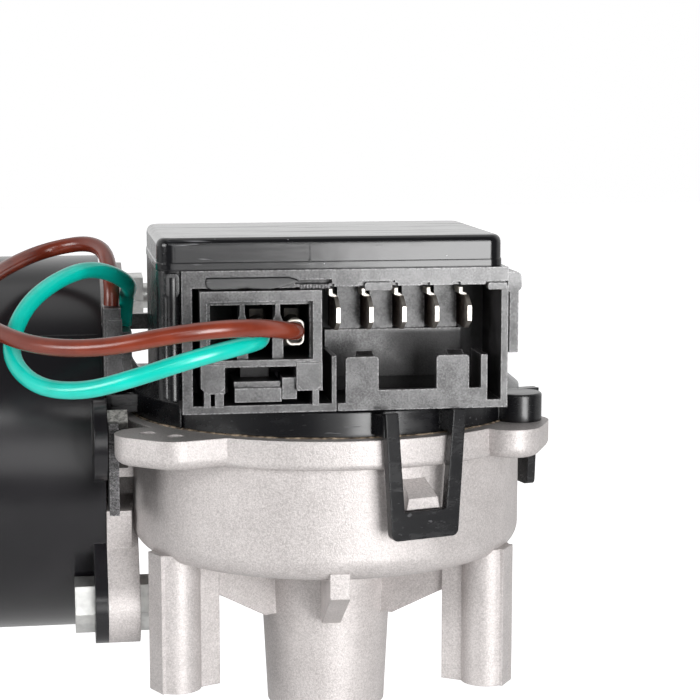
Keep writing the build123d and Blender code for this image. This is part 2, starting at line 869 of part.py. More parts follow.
def cable_tower():
    body = block(flange_x, tower_right_x, tower_low_y, tower_high_y, tower_base_z, tower_step_z)
    body += block(flange_x, tower_step_x, tower_low_y, tower_split_y, tower_step_z - 1, tower_top_z)
    rib = block(
        flange_x + 0.6, tower_step_x + 0.2, tower_low_y - 0.8, tower_low_y + 1,
        tower_base_z, tower_top_z - 2.2,
    )
    arm = block(
        flange_x + 2, tower_right_x + arm_reach, arm_low_y, arm_low_y + arm_thickness,
        tower_step_z - 1, tower_step_z - 1 + arm_height,
    )
    return body + rib + arm + tower_gusset()


def brush_plate():
    x0 = flange_x - plate_thickness
    disc = along_x(x0, flange_x, yoke_radius - yoke_wall - seat_gap)
    disc -= along_x(x0 - 1, flange_x + 1, bearing_outer - 2)
    plate = disc + cable_tower()
    return plate + [holder_bracket(sign) for sign in (1, -1)]


def holder_bracket(sign):
    """Arm that carries a brush holder on the motor side of the plate."""
    low = sign * (holder_low() + 3)
    high = sign * (holder_low() + holder_height)
    x1 = flange_x - plate_thickness
    x0 = brush_x() + brush_axial / 2 + holder_wall + seat_gap
    arm = block(x0, x1 + 1, -brush_wide / 2, brush_wide / 2, min(low, high), max(low, high))
    return Pos(0, worm_y, worm_z) * arm


def holder_box(sign):
    half_x = brush_axial / 2 + seat_gap
    half_y = brush_wide / 2 + seat_gap
    top = holder_low() + holder_height
    wide_x = half_x + holder_wall
    wide_y = half_y + holder_wall
    outer = block(-wide_x, wide_x, -wide_y, wide_y, holder_low(), top)
    inner = block(-half_x, half_x, -half_y, half_y, holder_low() - 1, top - holder_wall)
    box = outer - inner
    return brush_side(sign) * box


def brush_holders():
    return [holder_box(1), holder_box(-1)]


def carbon_brush(sign):
    low = commutator_radius - 1.5
    half_x = brush_axial / 2
    half_y = brush_wide / 2
    body = block(-half_x, half_x, -half_y, half_y, low, low + spring_seat())
    tail = Rot(0, 90, 0) * Cylinder(brush_face(), 2 * brush_axial)
    brush = body - tail
    return brush_side(sign) * brush


def spring_seat():
    """Height of the brush: what the holder leaves after the compressed spring."""
    return holder_low() + holder_height - holder_wall - spring_length - 0.3 - (commutator_radius - 1.5)


def brush_spring(sign):
    low = commutator_radius - 1.5 + spring_seat() + 0.15
    height = spring_length - 2 * spring_wire
    coil = Helix(pitch=height / spring_turns, height=height, radius=spring_radius)
    wire = sweep(Plane(origin=coil @ 0, z_dir=coil % 0) * Circle(spring_wire), path=coil, is_frenet=True)
    spring = Pos(0, 0, low + spring_wire) * wire
    return brush_side(sign) * spring


# ---- gear cover -------------------------------------------------------------------
def cover_shell():
    skirt = upright(0, 0, rim_height, rim_height + skirt_height, cover_radius)
    crown = loft([
        Plane.XY.offset(rim_height + skirt_height) * Circle(cover_radius),
        Plane.XY.offset(rim_height + cover_crown_height) * Circle(cover_crown_radius),
    ])
    skirt_top = rim_height + skirt_height - cover_wall
    crown_top = rim_height + cover_crown_height - cover_wall
    inside = upright(0, 0, rim_height - 1, skirt_top, cover_radius - cover_wall)
    inside += upright(0, 0, rim_height, crown_top, cover_crown_radius - 2 * cover_wall)
    return skirt + crown - inside


def seal_ring(gap):
    outer = cover_radius - 0.4 + gap
    inner = outer - seal_width - 2 * gap
    low = rim_height - gap
    high = rim_height + seal_thickness + gap
    return upright(0, 0, low, high, outer) - upright(0, 0, low - 1, high + 1, inner)


def cover_seal():
    return seal_ring(0.0)


def snap_loop(angle, lift):
    """Closed loop that hangs over the rim and hooks under a catch wedge."""
    inner = rim_radius + loop_gap
    top = rim_height + lift
    low = rim_height - loop_drop
    wide = loop_width_top / 2
    narrow = loop_width_bottom / 2
    frame = make_face(Polyline((-wide, top), (wide, top), (narrow, low), (-narrow, low), close=True))
    frame = fillet(frame.vertices().group_by(Axis.Y)[0], loop_corner)
    hole = make_face(Polyline(
        (-wide + loop_leg, top + 1), (wide - loop_leg, top + 1),
        (narrow - loop_leg, low + loop_bar), (-narrow + loop_leg, low + loop_bar), close=True,
    ))
    start = Plane(origin=(0, -inner, 0), x_dir=(1, 0, 0), z_dir=(0, -1, 0))
    loop = extrude(start * (frame - hole), loop_thickness)
    arm_top = rim_height + min(lift, skirt_height)
    for side in (-1, 1):
        x0 = side * (wide - loop_leg / 2) - loop_leg / 2
        loop += block(x0, x0 + loop_leg, -inner - 1, -cover_radius + 3, rim_height + 0.8, arm_top)
    return turned(angle) * loop


def cover_boss(angle):
    """Round boss that stands on a lug of the case, with a peg into it."""
    x, y = round_point(angle, boss_circle)
    boss = upright(x, y, rim_height, rim_height + cover_boss_height, cover_boss_radius)
    boss = fillet(boss.edges().group_by(Axis.Z)[-1], 0.5)
    return boss + upright(x, y, rim_height - boss_peg_depth, rim_height + 1, boss_peg_radius)


def box_floor():
    return rim_height + box_floor_height


def box_wall_shell():
    """Three walls of the control box, open to the front where the sockets stand."""
    outer = block(box_left, box_right, box_front, box_rear, box_floor(), lid_base)
    outer = fillet(outer.edges().filter_by(Axis.Z), lid_corner - 0.6)
    inner = block(
        box_left + box_wall, box_right - box_wall, block_rear() - 0.2, box_rear - box_wall,
        rim_height + cover_crown_height, lid_base + 1,
    )
    return outer - inner


def block_rear():
    return face_y + block_depth


def front_rib():
    """Rounded rib on the front of the left wall, below the lid."""
    x = (box_left + block_left) / 2 + 0.6
    return upright(x, box_front + 0.3, box_floor(), lid_base - 1.2, 1.3)


def gear_cover():
    cover = cover_shell() + [snap_loop(angle, lift) for angle, lift in zip(loop_angles, loop_lifts)]
    cover += [cover_boss(angle) for angle in boss_angles]
    cover += box_wall_shell() + front_rib()
    sockets = block(
        block_left - 0.1, box_right + 1, face_y - 1, block_rear() + 0.1, block_base - 0.1, lid_base + 1,
    )
    return cover - sockets - seal_ring(seat_gap)


def box_lid():
    body = block(box_left, box_right, lid_front, box_rear, lid_base, lid_top)
    body = fillet(body.edges().filter_by(Axis.Z), lid_corner)
    body = fillet(body.edges().group_by(Axis.Z)[-1], lid_round)
    inner = block(
        box_left + box_wall + 0.1, box_right - box_wall - 0.1, face_y + 3, box_rear - box_wall - 0.1,
        lid_base - 1, lid_top - 1.8,
    )
    return body - inner


# ---- connector housing ------------------------------------------------------------
def socket_cavities():
    back = face_y + socket_depth
    low = block_base + base_wall
    high = lid_base - top_wall
    left = block(block_left + left_side_wall, left_socket_right, face_y - 1, back, low, high)
    right = block(left_socket_right + partition, block_right - side_wall, face_y - 1, back, low, high)
    over_partition = block(
        left_socket_right - 1, left_socket_right + partition + 1, face_y - 1, back, partition_top, high,
    )
    return [left, right, over_partition]


def blade_x(index):
    return first_blade_x + index * blade_pitch


def comb():
    """Stepped back wall of the five-way socket, with a pillar between each two blades."""
    back = face_y + socket_depth
    low = block_base + base_wall
    left = left_socket_right + partition - 0.4
    relief = block(left, comb_right, back - comb_ledge, back + 0.1, low + 3, comb_ledge_z)
    for index in range(blade_count - 1):
        middle = (blade_x(index) + blade_x(index + 1)) / 2
        relief += block(
            middle - pillar_width / 2, middle + pillar_width / 2,
            back - pillar_reach, back + 0.1, comb_ledge_z - 0.5, lid_base - top_wall + 0.1,
        )
    return relief


def guard():
    """Low front wall of the five-way socket with its two tall tabs and thin rib."""
    low = block_base + base_wall - 0.1
    depth = face_y + guard_thickness
    wall = block(guard_tab_x[0], guard_rib_x, face_y, depth, low, block_base + guard_height)
    for x in guard_tab_x:
        tab = block(x, x + guard_tab_width, face_y, depth, low, guard_tab_top)
        wall += fillet(tab.edges().filter_by(Axis.Y).group_by(Axis.Z)[-1], 0.6)
        hook = make_face(Polyline(
            (depth - 0.3, guard_tab_top - 3), (depth + guard_hook, guard_tab_top - 0.6),
            (depth + guard_hook, guard_tab_top + 0.6), (depth - 0.3, guard_tab_top - 0.3), close=True,
        ))
        wall += extrude(Plane.YZ.offset(x + 0.4 * guard_tab_width) * hook, 0.5 * guard_tab_width)
    rib = block(guard_rib_x, guard_rib_x + guard_rib_width, face_y, face_y + 9, low, guard_tab_top)
    return wall + rib


def side_rail():
    """Hook rail on the right of the housing that the lid clips over."""
    front = face_y + 3
    rear = face_y + 13
    head = block(block_right - 0.2, block_right + 3.3, front, rear, lid_base - 5.0, lid_base - 1.2)
    head = fillet(head.edges().filter_by(Axis.Y).group_by(Axis.X)[-1], 1.2)
    blade = block(block_right + 1.0, block_right + 2.7, front, rear, partition_top - 0.5, lid_base - 4)
    return head + blade


def latch_bar():
    """Rounded bar over the plug that its latch snaps behind."""
    high = lid_base - bar_drop
    bar = block(bar_left, bar_right, face_y - bar_proud, face_y + 1, high - bar_height, high)
    return fillet(bar.edges().filter_by(Axis.Y).group_by(Axis.X)[-1], 0.9)


def blade_slots(x, z):
    return block(
        x - blade_thickness / 2 - seat_gap, x + blade_thickness / 2 + seat_gap,
        face_y + socket_depth - 1, block_rear() + 1, z - seat_gap, z + blade_height + seat_gap,
    )


def cell_x(index):
    return (plug_left + plug_right) / 2 + (index - 1) * cell_pitch


def motor_blade_z():
    return (cell_low_z + cell_high_z - blade_height) / 2


def connector_housing():
    body = block(block_left, block_right, face_y, block_rear(), block_base, lid_base)
    rear = block_rear()
    body -= block(block_left - 1, block_right + 1, rear - 1, rear + 1, lid_base - 1.5, lid_base + 1)
    seam = left_socket_right + partition
    housing = body - socket_cavities() + comb() + guard() + side_rail() + latch_bar()
    housing -= block(seam - 0.05, seam + 0.25, face_y - 1, face_y + 1, 0, partition_top)
    slots = [blade_slots(blade_x(index), blade_low_z) for index in range(blade_count)]
    slots += [blade_slots(cell_x(index), motor_blade_z()) for index in (1, 2)]
    return housing - slots


def flat_blade(x, z, reach):
    """Tab with a tapered tip that runs through the housing wall to its solder tail."""
    back = face_y + socket_depth
    tip = back - reach
    rear = block_rear() + 2.5
    outline = Polyline(
        (tip, z + blade_chamfer), (tip + blade_taper, z), (rear, z), (rear, z + blade_height),
        (tip + blade_taper, z + blade_height), (tip, z + blade_height - blade_chamfer), close=True,
    )
    return extrude(Plane.YZ.offset(x - blade_thickness / 2) * make_face(outline), blade_thickness)


def power_blades():
    return [flat_blade(blade_x(index), blade_low_z, blade_reach) for index in range(blade_count)]


def motor_blades():
    return [flat_blade(cell_x(index), motor_blade_z(), 6.0) for index in (1, 2)]


# ---- plug and its terminals -------------------------------------------------------
def plug_cells():
    cells = []
    rear = plug_face + plug_length + 1
    for index in range(cell_count):
        left = cell_x(index) - cell_width / 2
        cells.append(block(left, left + cell_width, plug_face - 1, rear, cell_low_z, cell_high_z))
    return cells


def plug_window():
    return block(
        plug_left + plug_wall, plug_right - plug_wall - 0.4, plug_face - 1, plug_face + window_depth,
        cell_low_z, plug_top - 2.0,
    )


def plug_latch():
    """Sprung latch tongue in the lower half, between the two side lugs."""
    rear = plug_face + plug_length - 2
    tongue = block(
        plug_left + 6.3, plug_right - 7.5, plug_face + 0.6, rear, plug_base + 0.8, plug_base + 4.4,
    )
    tongue -= block(plug_left, plug_right, plug_face, plug_face + 2.2, plug_base + 3.4, plug_base + 6)
    stem = block(plug_left + 8, plug_right - 9, plug_face + 8, rear, plug_base + 4, cell_low_z)
    side = block(
        plug_right - 7.3, plug_right - 4.6, plug_face + 0.9, plug_face + 8, plug_base + 1.2, plug_base + 5.2,
    )
    return tongue + stem + side


def divider_flares():
    """Small triangles that widen each divider where it meets the top of the cells."""
    flares = []
    for index in range(cell_count - 1):
        x = (cell_x(index) + cell_x(index + 1)) / 2
        half = (cell_pitch - cell_width) / 2 + divider_flare
        top = cell_high_z + 0.1
        outline = make_face(Polyline((x - half, top), (x + half, top), (x, top - 2.5), close=True))
        flares.append(Pos(0, plug_face + window_depth + 2, 0) * extrude(Plane.XZ * outline, 2))
    return flares


def side_lug(x0, x1, low):
    """Side lug below the cells, its lower front corners cut off."""
    rear = plug_face + plug_length
    lug = block(x0, x1, plug_face - side_lug_proud, rear, plug_base + low, cell_low_z - 0.6)
    return chamfer(lug.edges().filter_by(Axis.Y).group_by(Axis.Z)[0], lug_chamfer)


def plug_housing():
    rear = plug_face + plug_length
    upper = block(plug_left, plug_right, plug_face, rear, cell_low_z - plug_wall, plug_top)
    body = upper - plug_window() - plug_cells() + divider_flares()
    body += side_lug(plug_left, plug_left + side_lug_left, side_lug_left_low)
    body += side_lug(plug_right - side_lug_right, plug_right, side_lug_right_low)
    for offset, width in foot_bars:
        left = plug_left + offset
        body += block(left, left + width, plug_face, rear, plug_base, plug_base + foot_bar_height)
    return body + plug_latch()


def receptacle(index):
    """Crimped receptacle: a rolled box over the blade and a barrel round the lead."""
    x = cell_x(index)
    z = (cell_low_z + cell_high_z) / 2
    tip = face_y + socket_depth - 6.0
    half = terminal_width / 2
    box = block(
        x - half, x + half, crimp_y + barrel_length - 0.5, tip + 5,
        z - terminal_height / 2, z + terminal_height / 2,
    )
    slot = block(
        x - blade_thickness / 2 - seat_gap, x + blade_thickness / 2 + seat_gap,
        tip - 1, tip + 6, motor_blade_z() - seat_gap, motor_blade_z() + blade_height + seat_gap,
    )
    start = Plane(origin=(x, crimp_y, z), x_dir=(1, 0, 0), z_dir=(0, 1, 0))
    barrel = start * Ellipse(crimp_width / 2, crimp_height / 2)
    return box + extrude(barrel, barrel_length) - slot


def plug_terminals():
    return [receptacle(1), receptacle(2)]


# ---- electronics ------------------------------------------------------------------
def board_z():
    return rim_height + board_height


def circuit_board():
    front = block_rear() + board_gap + 2.4
    rear = box_rear - box_wall - board_gap
    left = box_left + box_wall + board_gap
    right = box_right - box_wall - board_gap
    board = block(left, right, front, rear, board_z(), board_z() + board_thickness)
    posts = [
        upright(x, y, rim_height + cover_crown_height, board_z(), 1.5)
        for x in (left + 3.4, right - 3.4) for y in (front + 3, rear - 2.4)
    ]
    return board + posts


def relay():
    length, width, height = relay_size
    base = board_z() + board_thickness
    front = block_rear() + board_gap + 4.2
    relay_box = block(relay_right - length, relay_right, front, front + width, base, base + height)
    return fillet(relay_box.edges().group_by(Axis.Z)[-1], 0.8)


def park_sensor():
    length, width, height = sensor_size
    rear = box_rear - box_wall - board_gap - 2.8
    return block(sensor_x, sensor_x + length, rear - width, rear, board_z() - height, board_z())


# ---- fasteners --------------------------------------------------------------------
def ear_point(angle, circle=ear_circle):
    y, z = polar(angle, circle)
    return (worm_y + y, worm_z + z)


def yoke_bolts():
    bolts = []
    back = flange_x - yoke_ear_thickness
    for angle in ear_angles:
        y, z = ear_point(angle)
        tip = flange_x + flange_thickness + ear_extra + nut_height + bolt_end
        shank = along_x(back, tip, bolt_radius, y, z)
        bolts.append(hex_prism(back - bolt_head, back, y, z) + shank)
    return bolts


def yoke_nuts():
    nuts = []
    start = flange_x + flange_thickness + ear_extra
    for angle in ear_angles:
        y, z = ear_point(angle)
        bore = along_x(start - 1, start + nut_height + 1, bolt_radius + seat_gap, y, z)
        nuts.append(hex_prism(start, start + nut_height, y, z) - bore)
    return nuts


def ear_screw():
    """Screw in the front ear of the yoke, its head beside the rim of the case."""
    y, z = ear_point(front_ear_angle, front_ear_circle)
    head = hex_prism(flange_x, flange_x + bolt_head, y, z, turn=30.0)
    return head + along_x(flange_x - yoke_ear_thickness, flange_x, bolt_radius, y, z)


# ---- leads ------------------------------------------------------------------------
def corner_radii(points):
    """Largest arcs that the runs allow: 0.45 of the shorter run at each corner."""
    radii = []
    for before, corner, after in zip(points, points[1:], points[2:]):
        arrive = Vector(*corner) - Vector(*before)
        leave = Vector(*after) - Vector(*corner)
        half_turn = radians(arrive.get_angle(leave)) / 2
        radii.append(0.45 * min(arrive.length, leave.length) / tan(half_turn))
    return radii


def lead(name, points):
    radii = corner_radii(points)
    path = FilletPolyline(*points, radius=radii)
    print(name, "length", round(path.length, 1), "radii", [round(radius, 1) for radius in radii])
    section = Plane(origin=points[0], z_dir=path % 0) * Circle(lead_radius)
    tube = sweep(section, path=path)
    full = pi * lead_radius**2 * path.length
    print(name, "volume over section times length", round(tube.volume / full, 4))
    return tube


NODES = {
    "gear_case": gear_case,
    "output_bush_lower": lambda: output_bush(-boss_reach),
    "output_bush_upper": lambda: output_bush(floor_top - bush_length),
    "shaft_seal": shaft_seal,
    "thrust_washer": thrust_washer,
    "worm_end_bush": worm_end_bush,
    "thrust_screw": thrust_screw,
    "thrust_lock_nut": thrust_lock_nut,
    "bearing_outer_ring": bearing_outer_ring,
    "bearing_inner_ring": bearing_inner_ring,
    "bearing_balls": bearing_balls,
    "output_shaft": output_shaft,
    "shaft_circlip": shaft_circlip,
    "worm_wheel": worm_wheel,
    "park_magnet": park_magnet,
    "armature_shaft": armature_shaft,
    "armature_core": armature_core,
    "armature_windings": armature_windings,
    "commutator": commutator,
    "motor_yoke": motor_yoke,
    "field_magnets": field_magnets,
    "magnet_clips": magnet_clips,
    "rear_bush": rear_bush,
    "bearing_retainer": bearing_retainer,
    "brush_plate": brush_plate,
    "brush_holders": brush_holders,
    "carbon_brush_upper": lambda: carbon_brush(1),
    "carbon_brush_lower": lambda: carbon_brush(-1),
    "brush_spring_upper": lambda: brush_spring(1),
    "brush_spring_lower": lambda: brush_spring(-1),
    "gear_cover": gear_cover,
    "cover_seal": cover_seal,
    "box_lid": box_lid,
    "connector_housing": connector_housing,
    "power_blades": power_blades,
    "motor_blades": motor_blades,
    "plug_housing": plug_housing,
    "plug_terminals": plug_terminals,
    "circuit_board": circuit_board,
    "relay": relay,
    "park_sensor": park_sensor,
    "yoke_bolts": yoke_bolts,
    "yoke_nuts": yoke_nuts,
    "ear_screw": ear_screw,
    "brown_lead": lambda: lead("brown_lead", brown_route),
    "green_lead": lambda: lead("green_lead", green_route),
}

for node, build in NODES.items():
    shape = build()
    if isinstance(shape, list):
        shape = Compound(shape)
    export_step(shape, f"parts/{node}.step")
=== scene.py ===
import math

import bmesh
import bpy
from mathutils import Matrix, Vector


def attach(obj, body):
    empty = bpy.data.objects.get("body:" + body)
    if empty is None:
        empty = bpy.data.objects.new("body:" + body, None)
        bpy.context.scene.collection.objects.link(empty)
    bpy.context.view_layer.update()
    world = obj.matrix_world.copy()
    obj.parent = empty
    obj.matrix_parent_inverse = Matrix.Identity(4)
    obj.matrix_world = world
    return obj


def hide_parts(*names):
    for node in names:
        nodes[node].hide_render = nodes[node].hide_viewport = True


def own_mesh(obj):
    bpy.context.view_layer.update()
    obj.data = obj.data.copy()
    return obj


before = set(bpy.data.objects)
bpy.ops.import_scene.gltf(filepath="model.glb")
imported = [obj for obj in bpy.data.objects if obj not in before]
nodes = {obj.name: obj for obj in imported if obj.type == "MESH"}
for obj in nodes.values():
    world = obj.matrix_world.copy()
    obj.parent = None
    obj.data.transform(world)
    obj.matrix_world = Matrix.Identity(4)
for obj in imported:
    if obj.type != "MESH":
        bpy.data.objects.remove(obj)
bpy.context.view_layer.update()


# ---- Studio -----------------------------------------------------------------------
# White surroundings behind the object and a darker room in front of it. One tall soft
# box stands on the front right with a weak fill beside it, and weaker ones stand on the
# left, above the front and overhead. The camera looks down a little from the front left.
camera_place = (-0.05566, -0.39308, 0.1193)
camera_dip, camera_turn = 7.74, -8.8
camera_data = bpy.data.cameras.new("studio_camera")
camera_data.lens = 100.0
camera_data.sensor_width = 36.0
camera_data.clip_start = 0.02
camera = bpy.data.objects.new("studio_camera", camera_data)
camera.location = camera_place
camera.rotation_euler = (math.radians(90 - camera_dip), 0.0, math.radians(camera_turn))
bpy.context.collection.objects.link(camera)
bpy.context.scene.camera = camera
bpy.context.scene.view_settings.view_transform = "Standard"


def soft_box(name, place, aim, size, watts):
    light_data = bpy.data.lights.new(name, "AREA")
    light_data.shape = "RECTANGLE"
    light_data.size, light_data.size_y = size
    light_data.energy = watts
    light = bpy.data.objects.new(name, light_data)
    light.location = place
    light.rotation_euler = (Vector(aim) - Vector(place)).to_track_quat("-Z", "Y").to_euler()
    bpy.context.collection.objects.link(light)


aim_point = (0.0, 0.0, 0.05)
soft_box("front_right_box", (0.42, -1.12, 0.06), aim_point, size=(0.54, 0.66), watts=14.4)
soft_box("front_fill_box", (-0.04, -1.2, 0.06), aim_point, size=(0.34, 0.4), watts=0.8)
soft_box("left_box", (-0.95, -0.45, 0.25), (-0.03, 0.0, 0.05), size=(0.5, 0.4), watts=5.0)
soft_box("front_strip", (-0.1, -1.1, 0.55), (-0.02, 0.0, 0.06), size=(1.2, 0.07), watts=2.6)
soft_box("overhead_box", (0.0, 0.25, 0.9), aim_point, size=(0.8, 0.5), watts=0.8)


class Signal:
    """A shader value that adds and multiplies like a number."""

    def __init__(self, owner, socket):
        self.owner = owner
        self.socket = socket

    def maths(self, operation, *values):
        return self.owner.add("ShaderNodeMath", {"operation": operation}, dict(enumerate(values)))

    def __add__(self, other):
        return self.maths("ADD", self, other)

    __radd__ = __add__

    def __sub__(self, other):
        return self.maths("SUBTRACT", self, other)

    def __rsub__(self, other):
        return self.maths("SUBTRACT", other, self)

    def __mul__(self, other):
        return self.maths("MULTIPLY", self, other)

    __rmul__ = __mul__

    def most(self, other):
        """The larger of the two values."""
        return self.maths("MAXIMUM", self, other)

    def step(self, low, high):
        """Smooth step from 0 at low to 1 at high."""
        settings = {"interpolation_type": "SMOOTHSTEP"}
        sockets = {0: self, 1: low, 2: high, 3: 0.0, 4: 1.0}
        return self.owner.add("ShaderNodeMapRange", settings, sockets)


class Nodes:
    """A node tree, and the one method that makes any node in it."""

    def __init__(self, tree):
        self.tree = tree

    def add(self, kind, settings=None, sockets=None, out=0):
        """Makes a node, sets its settings first, then the values or links of its sockets."""
        node = self.tree.nodes.new(kind)
        for key, value in (settings or {}).items():
            setattr(node, key, value)
        for key, value in (sockets or {}).items():
            if isinstance(value, Signal):
                self.tree.links.new(value.socket, node.inputs[key])
            else:
                node.inputs[key].default_value = value
        if node.outputs:
            return Signal(self, node.outputs[out])

    def mirrored(self):
        """1 for a ray that a glossy or clear surface sends on, else 0."""
        glossy = self.add("ShaderNodeLightPath", out="Is Glossy Ray")
        return glossy.most(self.add("ShaderNodeLightPath", out="Is Transmission Ray"))


white = (1.0, 1.0, 1.0, 1.0)
diffuse_fill = 0.18
dark_side = 0.12
ceiling_shade = 0.55
world = bpy.data.worlds.new("white_room")
bpy.context.scene.world = world
world.use_nodes = True
world.node_tree.nodes.clear()
room = Nodes(world.node_tree)
way = room.add("ShaderNodeTexCoord", out="Generated")
way_back = room.add("ShaderNodeSeparateXYZ", None, {0: way}, "Y")
way_up = room.add("ShaderNodeSeparateXYZ", None, {0: way}, "Z")
backdrop = way_back.step(-0.3, 0.3) * (1.0 - ceiling_shade * way_up.step(0.4, 0.85))
gleam = dark_side + (1.0 - dark_side) * backdrop
room_mirrored = room.mirrored()
room_lit = room_mirrored * gleam + (1.0 - room_mirrored) * diffuse_fill
room_seen = room.add("ShaderNodeLightPath", out="Is Camera Ray")
room_sockets = {"Color": white, "Strength": room_lit.most(room_seen)}
room.add("ShaderNodeOutputWorld", None, {0: room.add("ShaderNodeBackground", None, room_sockets)})


# ---- Motor leads ------------------------------------------------------------------
# Two stranded copper leads in thin-wall insulation, brown and green. They come out
# of the tower on the brush plate, loop round freely and go into the plug's cells.
class Finish(Nodes):
    """One material: its principled shader, and the patterns that feed it."""

    def __init__(self, name, **values):
        self.material = bpy.data.materials.new(name)
        self.material.use_nodes = True
        super().__init__(self.material.node_tree)
        self.shader = self.tree.nodes["Principled BSDF"]
        for socket, value in values.items():
            self.shader.inputs[socket.replace("_", " ")].default_value = value

    def place(self):
        return self.add("ShaderNodeTexCoord", out="Object")

    def along(self, axis):
        """The place on the piece along one axis, in metres."""
        return self.add("ShaderNodeSeparateXYZ", None, {0: self.place()}, axis)

    def noise(self, size, detail=2.0, roughness=0.5, stretch=None):
        """Noise whose lumps are about size metres across."""
        where = self.place()
        if stretch:
            settings = {"operation": "MULTIPLY"}
            where = self.add("ShaderNodeVectorMath", settings, {0: where, 1: stretch})
        sockets = {"Vector": where, "Scale": 1.0 / size, "Detail": detail, "Roughness": roughness}
        return self.add("ShaderNodeTexNoise", None, sockets)

    def cells(self, size):
        """The distance from the middle of the nearest cell; cells are size metres across."""
        sockets = {"Vector": self.place(), "Scale": 1.0 / size}
        return self.add("ShaderNodeTexVoronoi", {"feature": "F1"}, sockets, "Distance")

    def blend(self, amount, first, second):
        """Mixes two colours by amount."""
        sockets = {0: amount}
        for key, colour in ((6, first), (7, second)):
            sockets[key] = colour if isinstance(colour, Signal) else (*colour, 1.0)
        return self.add("ShaderNodeMix", {"data_type": "RGBA"}, sockets, 2)

    def rounded(self, radius):
        """The surface normal with edges rounded by radius metres."""
        return self.add("ShaderNodeBevel", {"samples": 4}, {"Radius": radius})

    def edge(self, radius):
        """1 on convex and concave edges, 0 on faces, from how far a rounded normal turns."""
        both = {0: self.rounded(radius), 1: self.add("ShaderNodeNewGeometry", out="Normal")}
        alike = self.add("ShaderNodeVectorMath", {"operation": "DOT_PRODUCT"}, both, "Value")
        return (1.0 - alike).step(0.01, 0.2)

    def wire(self, socket, signal):
        self.tree.links.new(signal.socket, self.shader.inputs[socket])

    def bump(self, height, distance, strength=1.0, soften=0.0):
        """Relief of distance metres, on edges rounded by soften metres."""
        sockets = {"Height": height, "Distance": distance, "Strength": strength}
        if soften:
            sockets["Normal"] = self.rounded(soften)
        self.wire("Normal", self.add("ShaderNodeBump", None, sockets))


lead_diameter = 0.0032
brown_route = [
    (-43.6, -1.6, 75.5), (-43.3, -1.5, 81.5), (-45.2, 13.1, 87.5),
    (-56.8, 19.9, 85.2), (-65.9, 7.2, 82.0), (-70.2, -8.1, 79.6),
    (-71.2, -21.9, 77.2), (-66.9, -35.3, 75.4), (-58.6, -46.8, 73.4),
    (-47.0, -55.4, 73.9), (-33.1, -61.2, 77.3), (-20.1, -57.7, 77.6),
    (-11.2, -47.5, 75.2), (-11.2, -38.8, 74.4),
]
green_route = [
    (-41.0, 4.2, 70.8), (-40.5, 3.9, 76.5), (-39.6, -4.1, 80.3),
    (-47.0, -12.8, 84.4), (-54.1, -21.5, 83.1), (-60.7, -29.4, 78.6),
    (-63.8, -35.7, 70.8), (-59.1, -43.8, 65.8), (-50.6, -51.2, 65.7),
    (-41.4, -56.7, 68.9), (-30.7, -58.5, 72.5), (-21.6, -54.4, 74.0),
    (-17.7, -46.8, 74.0), (-17.7, -38.8, 74.4),
]


def insulation(name, dark, light):
    """Extruded insulation: even colour with faint bands along it and a waxy surface."""
    finish = Finish(name, Specular_IOR_Level=0.65)
    cloud = finish.noise(0.006, 3.0)
    speck = finish.noise(0.0008, 2.0)
    finish.wire("Base Color", finish.blend(cloud.step(0.3, 0.7), dark, light))
    finish.wire("Roughness", 0.24 + 0.04 * speck)
    finish.bump(cloud, 0.00002)
    return finish


def lay_lead(name, route, finish):
    """One lead as a smooth tube along its route, which is in mm."""
    curve = bpy.data.curves.new(name, "CURVE")
    curve.dimensions = "3D"
    curve.bevel_depth = lead_diameter / 2
    curve.bevel_resolution = 8
    curve.resolution_u = 14
    curve.use_fill_caps = True
    line = curve.splines.new("NURBS")
    line.points.add(len(route) - 1)
    for point, (x, y, z) in zip(line.points, route):
        point.co = (x / 1000, y / 1000, z / 1000, 1.0)
    line.order_u = 3
    line.use_endpoint_u = True
    line.use_smooth = True
    curve.materials.append(finish.material)
    lead = bpy.data.objects.new(name, curve)
    bpy.context.collection.objects.link(lead)
    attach(lead, "housing")
    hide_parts(name)


brown = insulation("brown_insulation", dark=(0.155, 0.021, 0.008), light=(0.225, 0.034, 0.013))
green = insulation("green_insulation", dark=(0.0, 0.5, 0.4), light=(0.0, 0.6, 0.49))
lay_lead("brown_lead", brown_route, brown)
lay_lead("green_lead", green_route, green)


# ---- Gear case --------------------------------------------------------------------
# A pressure die casting in aluminium, shot blasted all over so that every face has
# the same fine grain. It carries the shaft boss, the feet and the motor flange.
def dress(finish, *names):
    """Gives CAD nodes a finish."""
    for name in names:
        node = nodes[name]
        if not node.material_slots:
            node.data.materials.append(finish.material)
        for entry in node.material_slots:
            entry.material = finish.material


cast_dark, cast_light = (0.40, 0.372, 0.364), (0.62, 0.583, 0.572)
cast = Finish("blasted_casting", Metallic=0.35, Specular_IOR_Level=0.5)
cast_grain = cast.noise(0.00045, 2.0, 0.8)
cast_fleck = cast.noise(0.00022, 1.0)
cast_cloud = cast.noise(0.005, 2.0)
cast_tone = 0.5 * cast_grain + 0.35 * cast_fleck + 0.15 * cast_cloud
cast.wire("Base Color", cast.blend(cast_tone.step(0.34, 0.66), cast_dark, cast_light))
cast.wire("Roughness", 0.34 + 0.3 * cast_grain)
cast.bump(0.6 * cast_grain + 0.4 * cast_fleck, 0.0001, strength=0.9, soften=0.0003)
dress(cast, "gear_case")


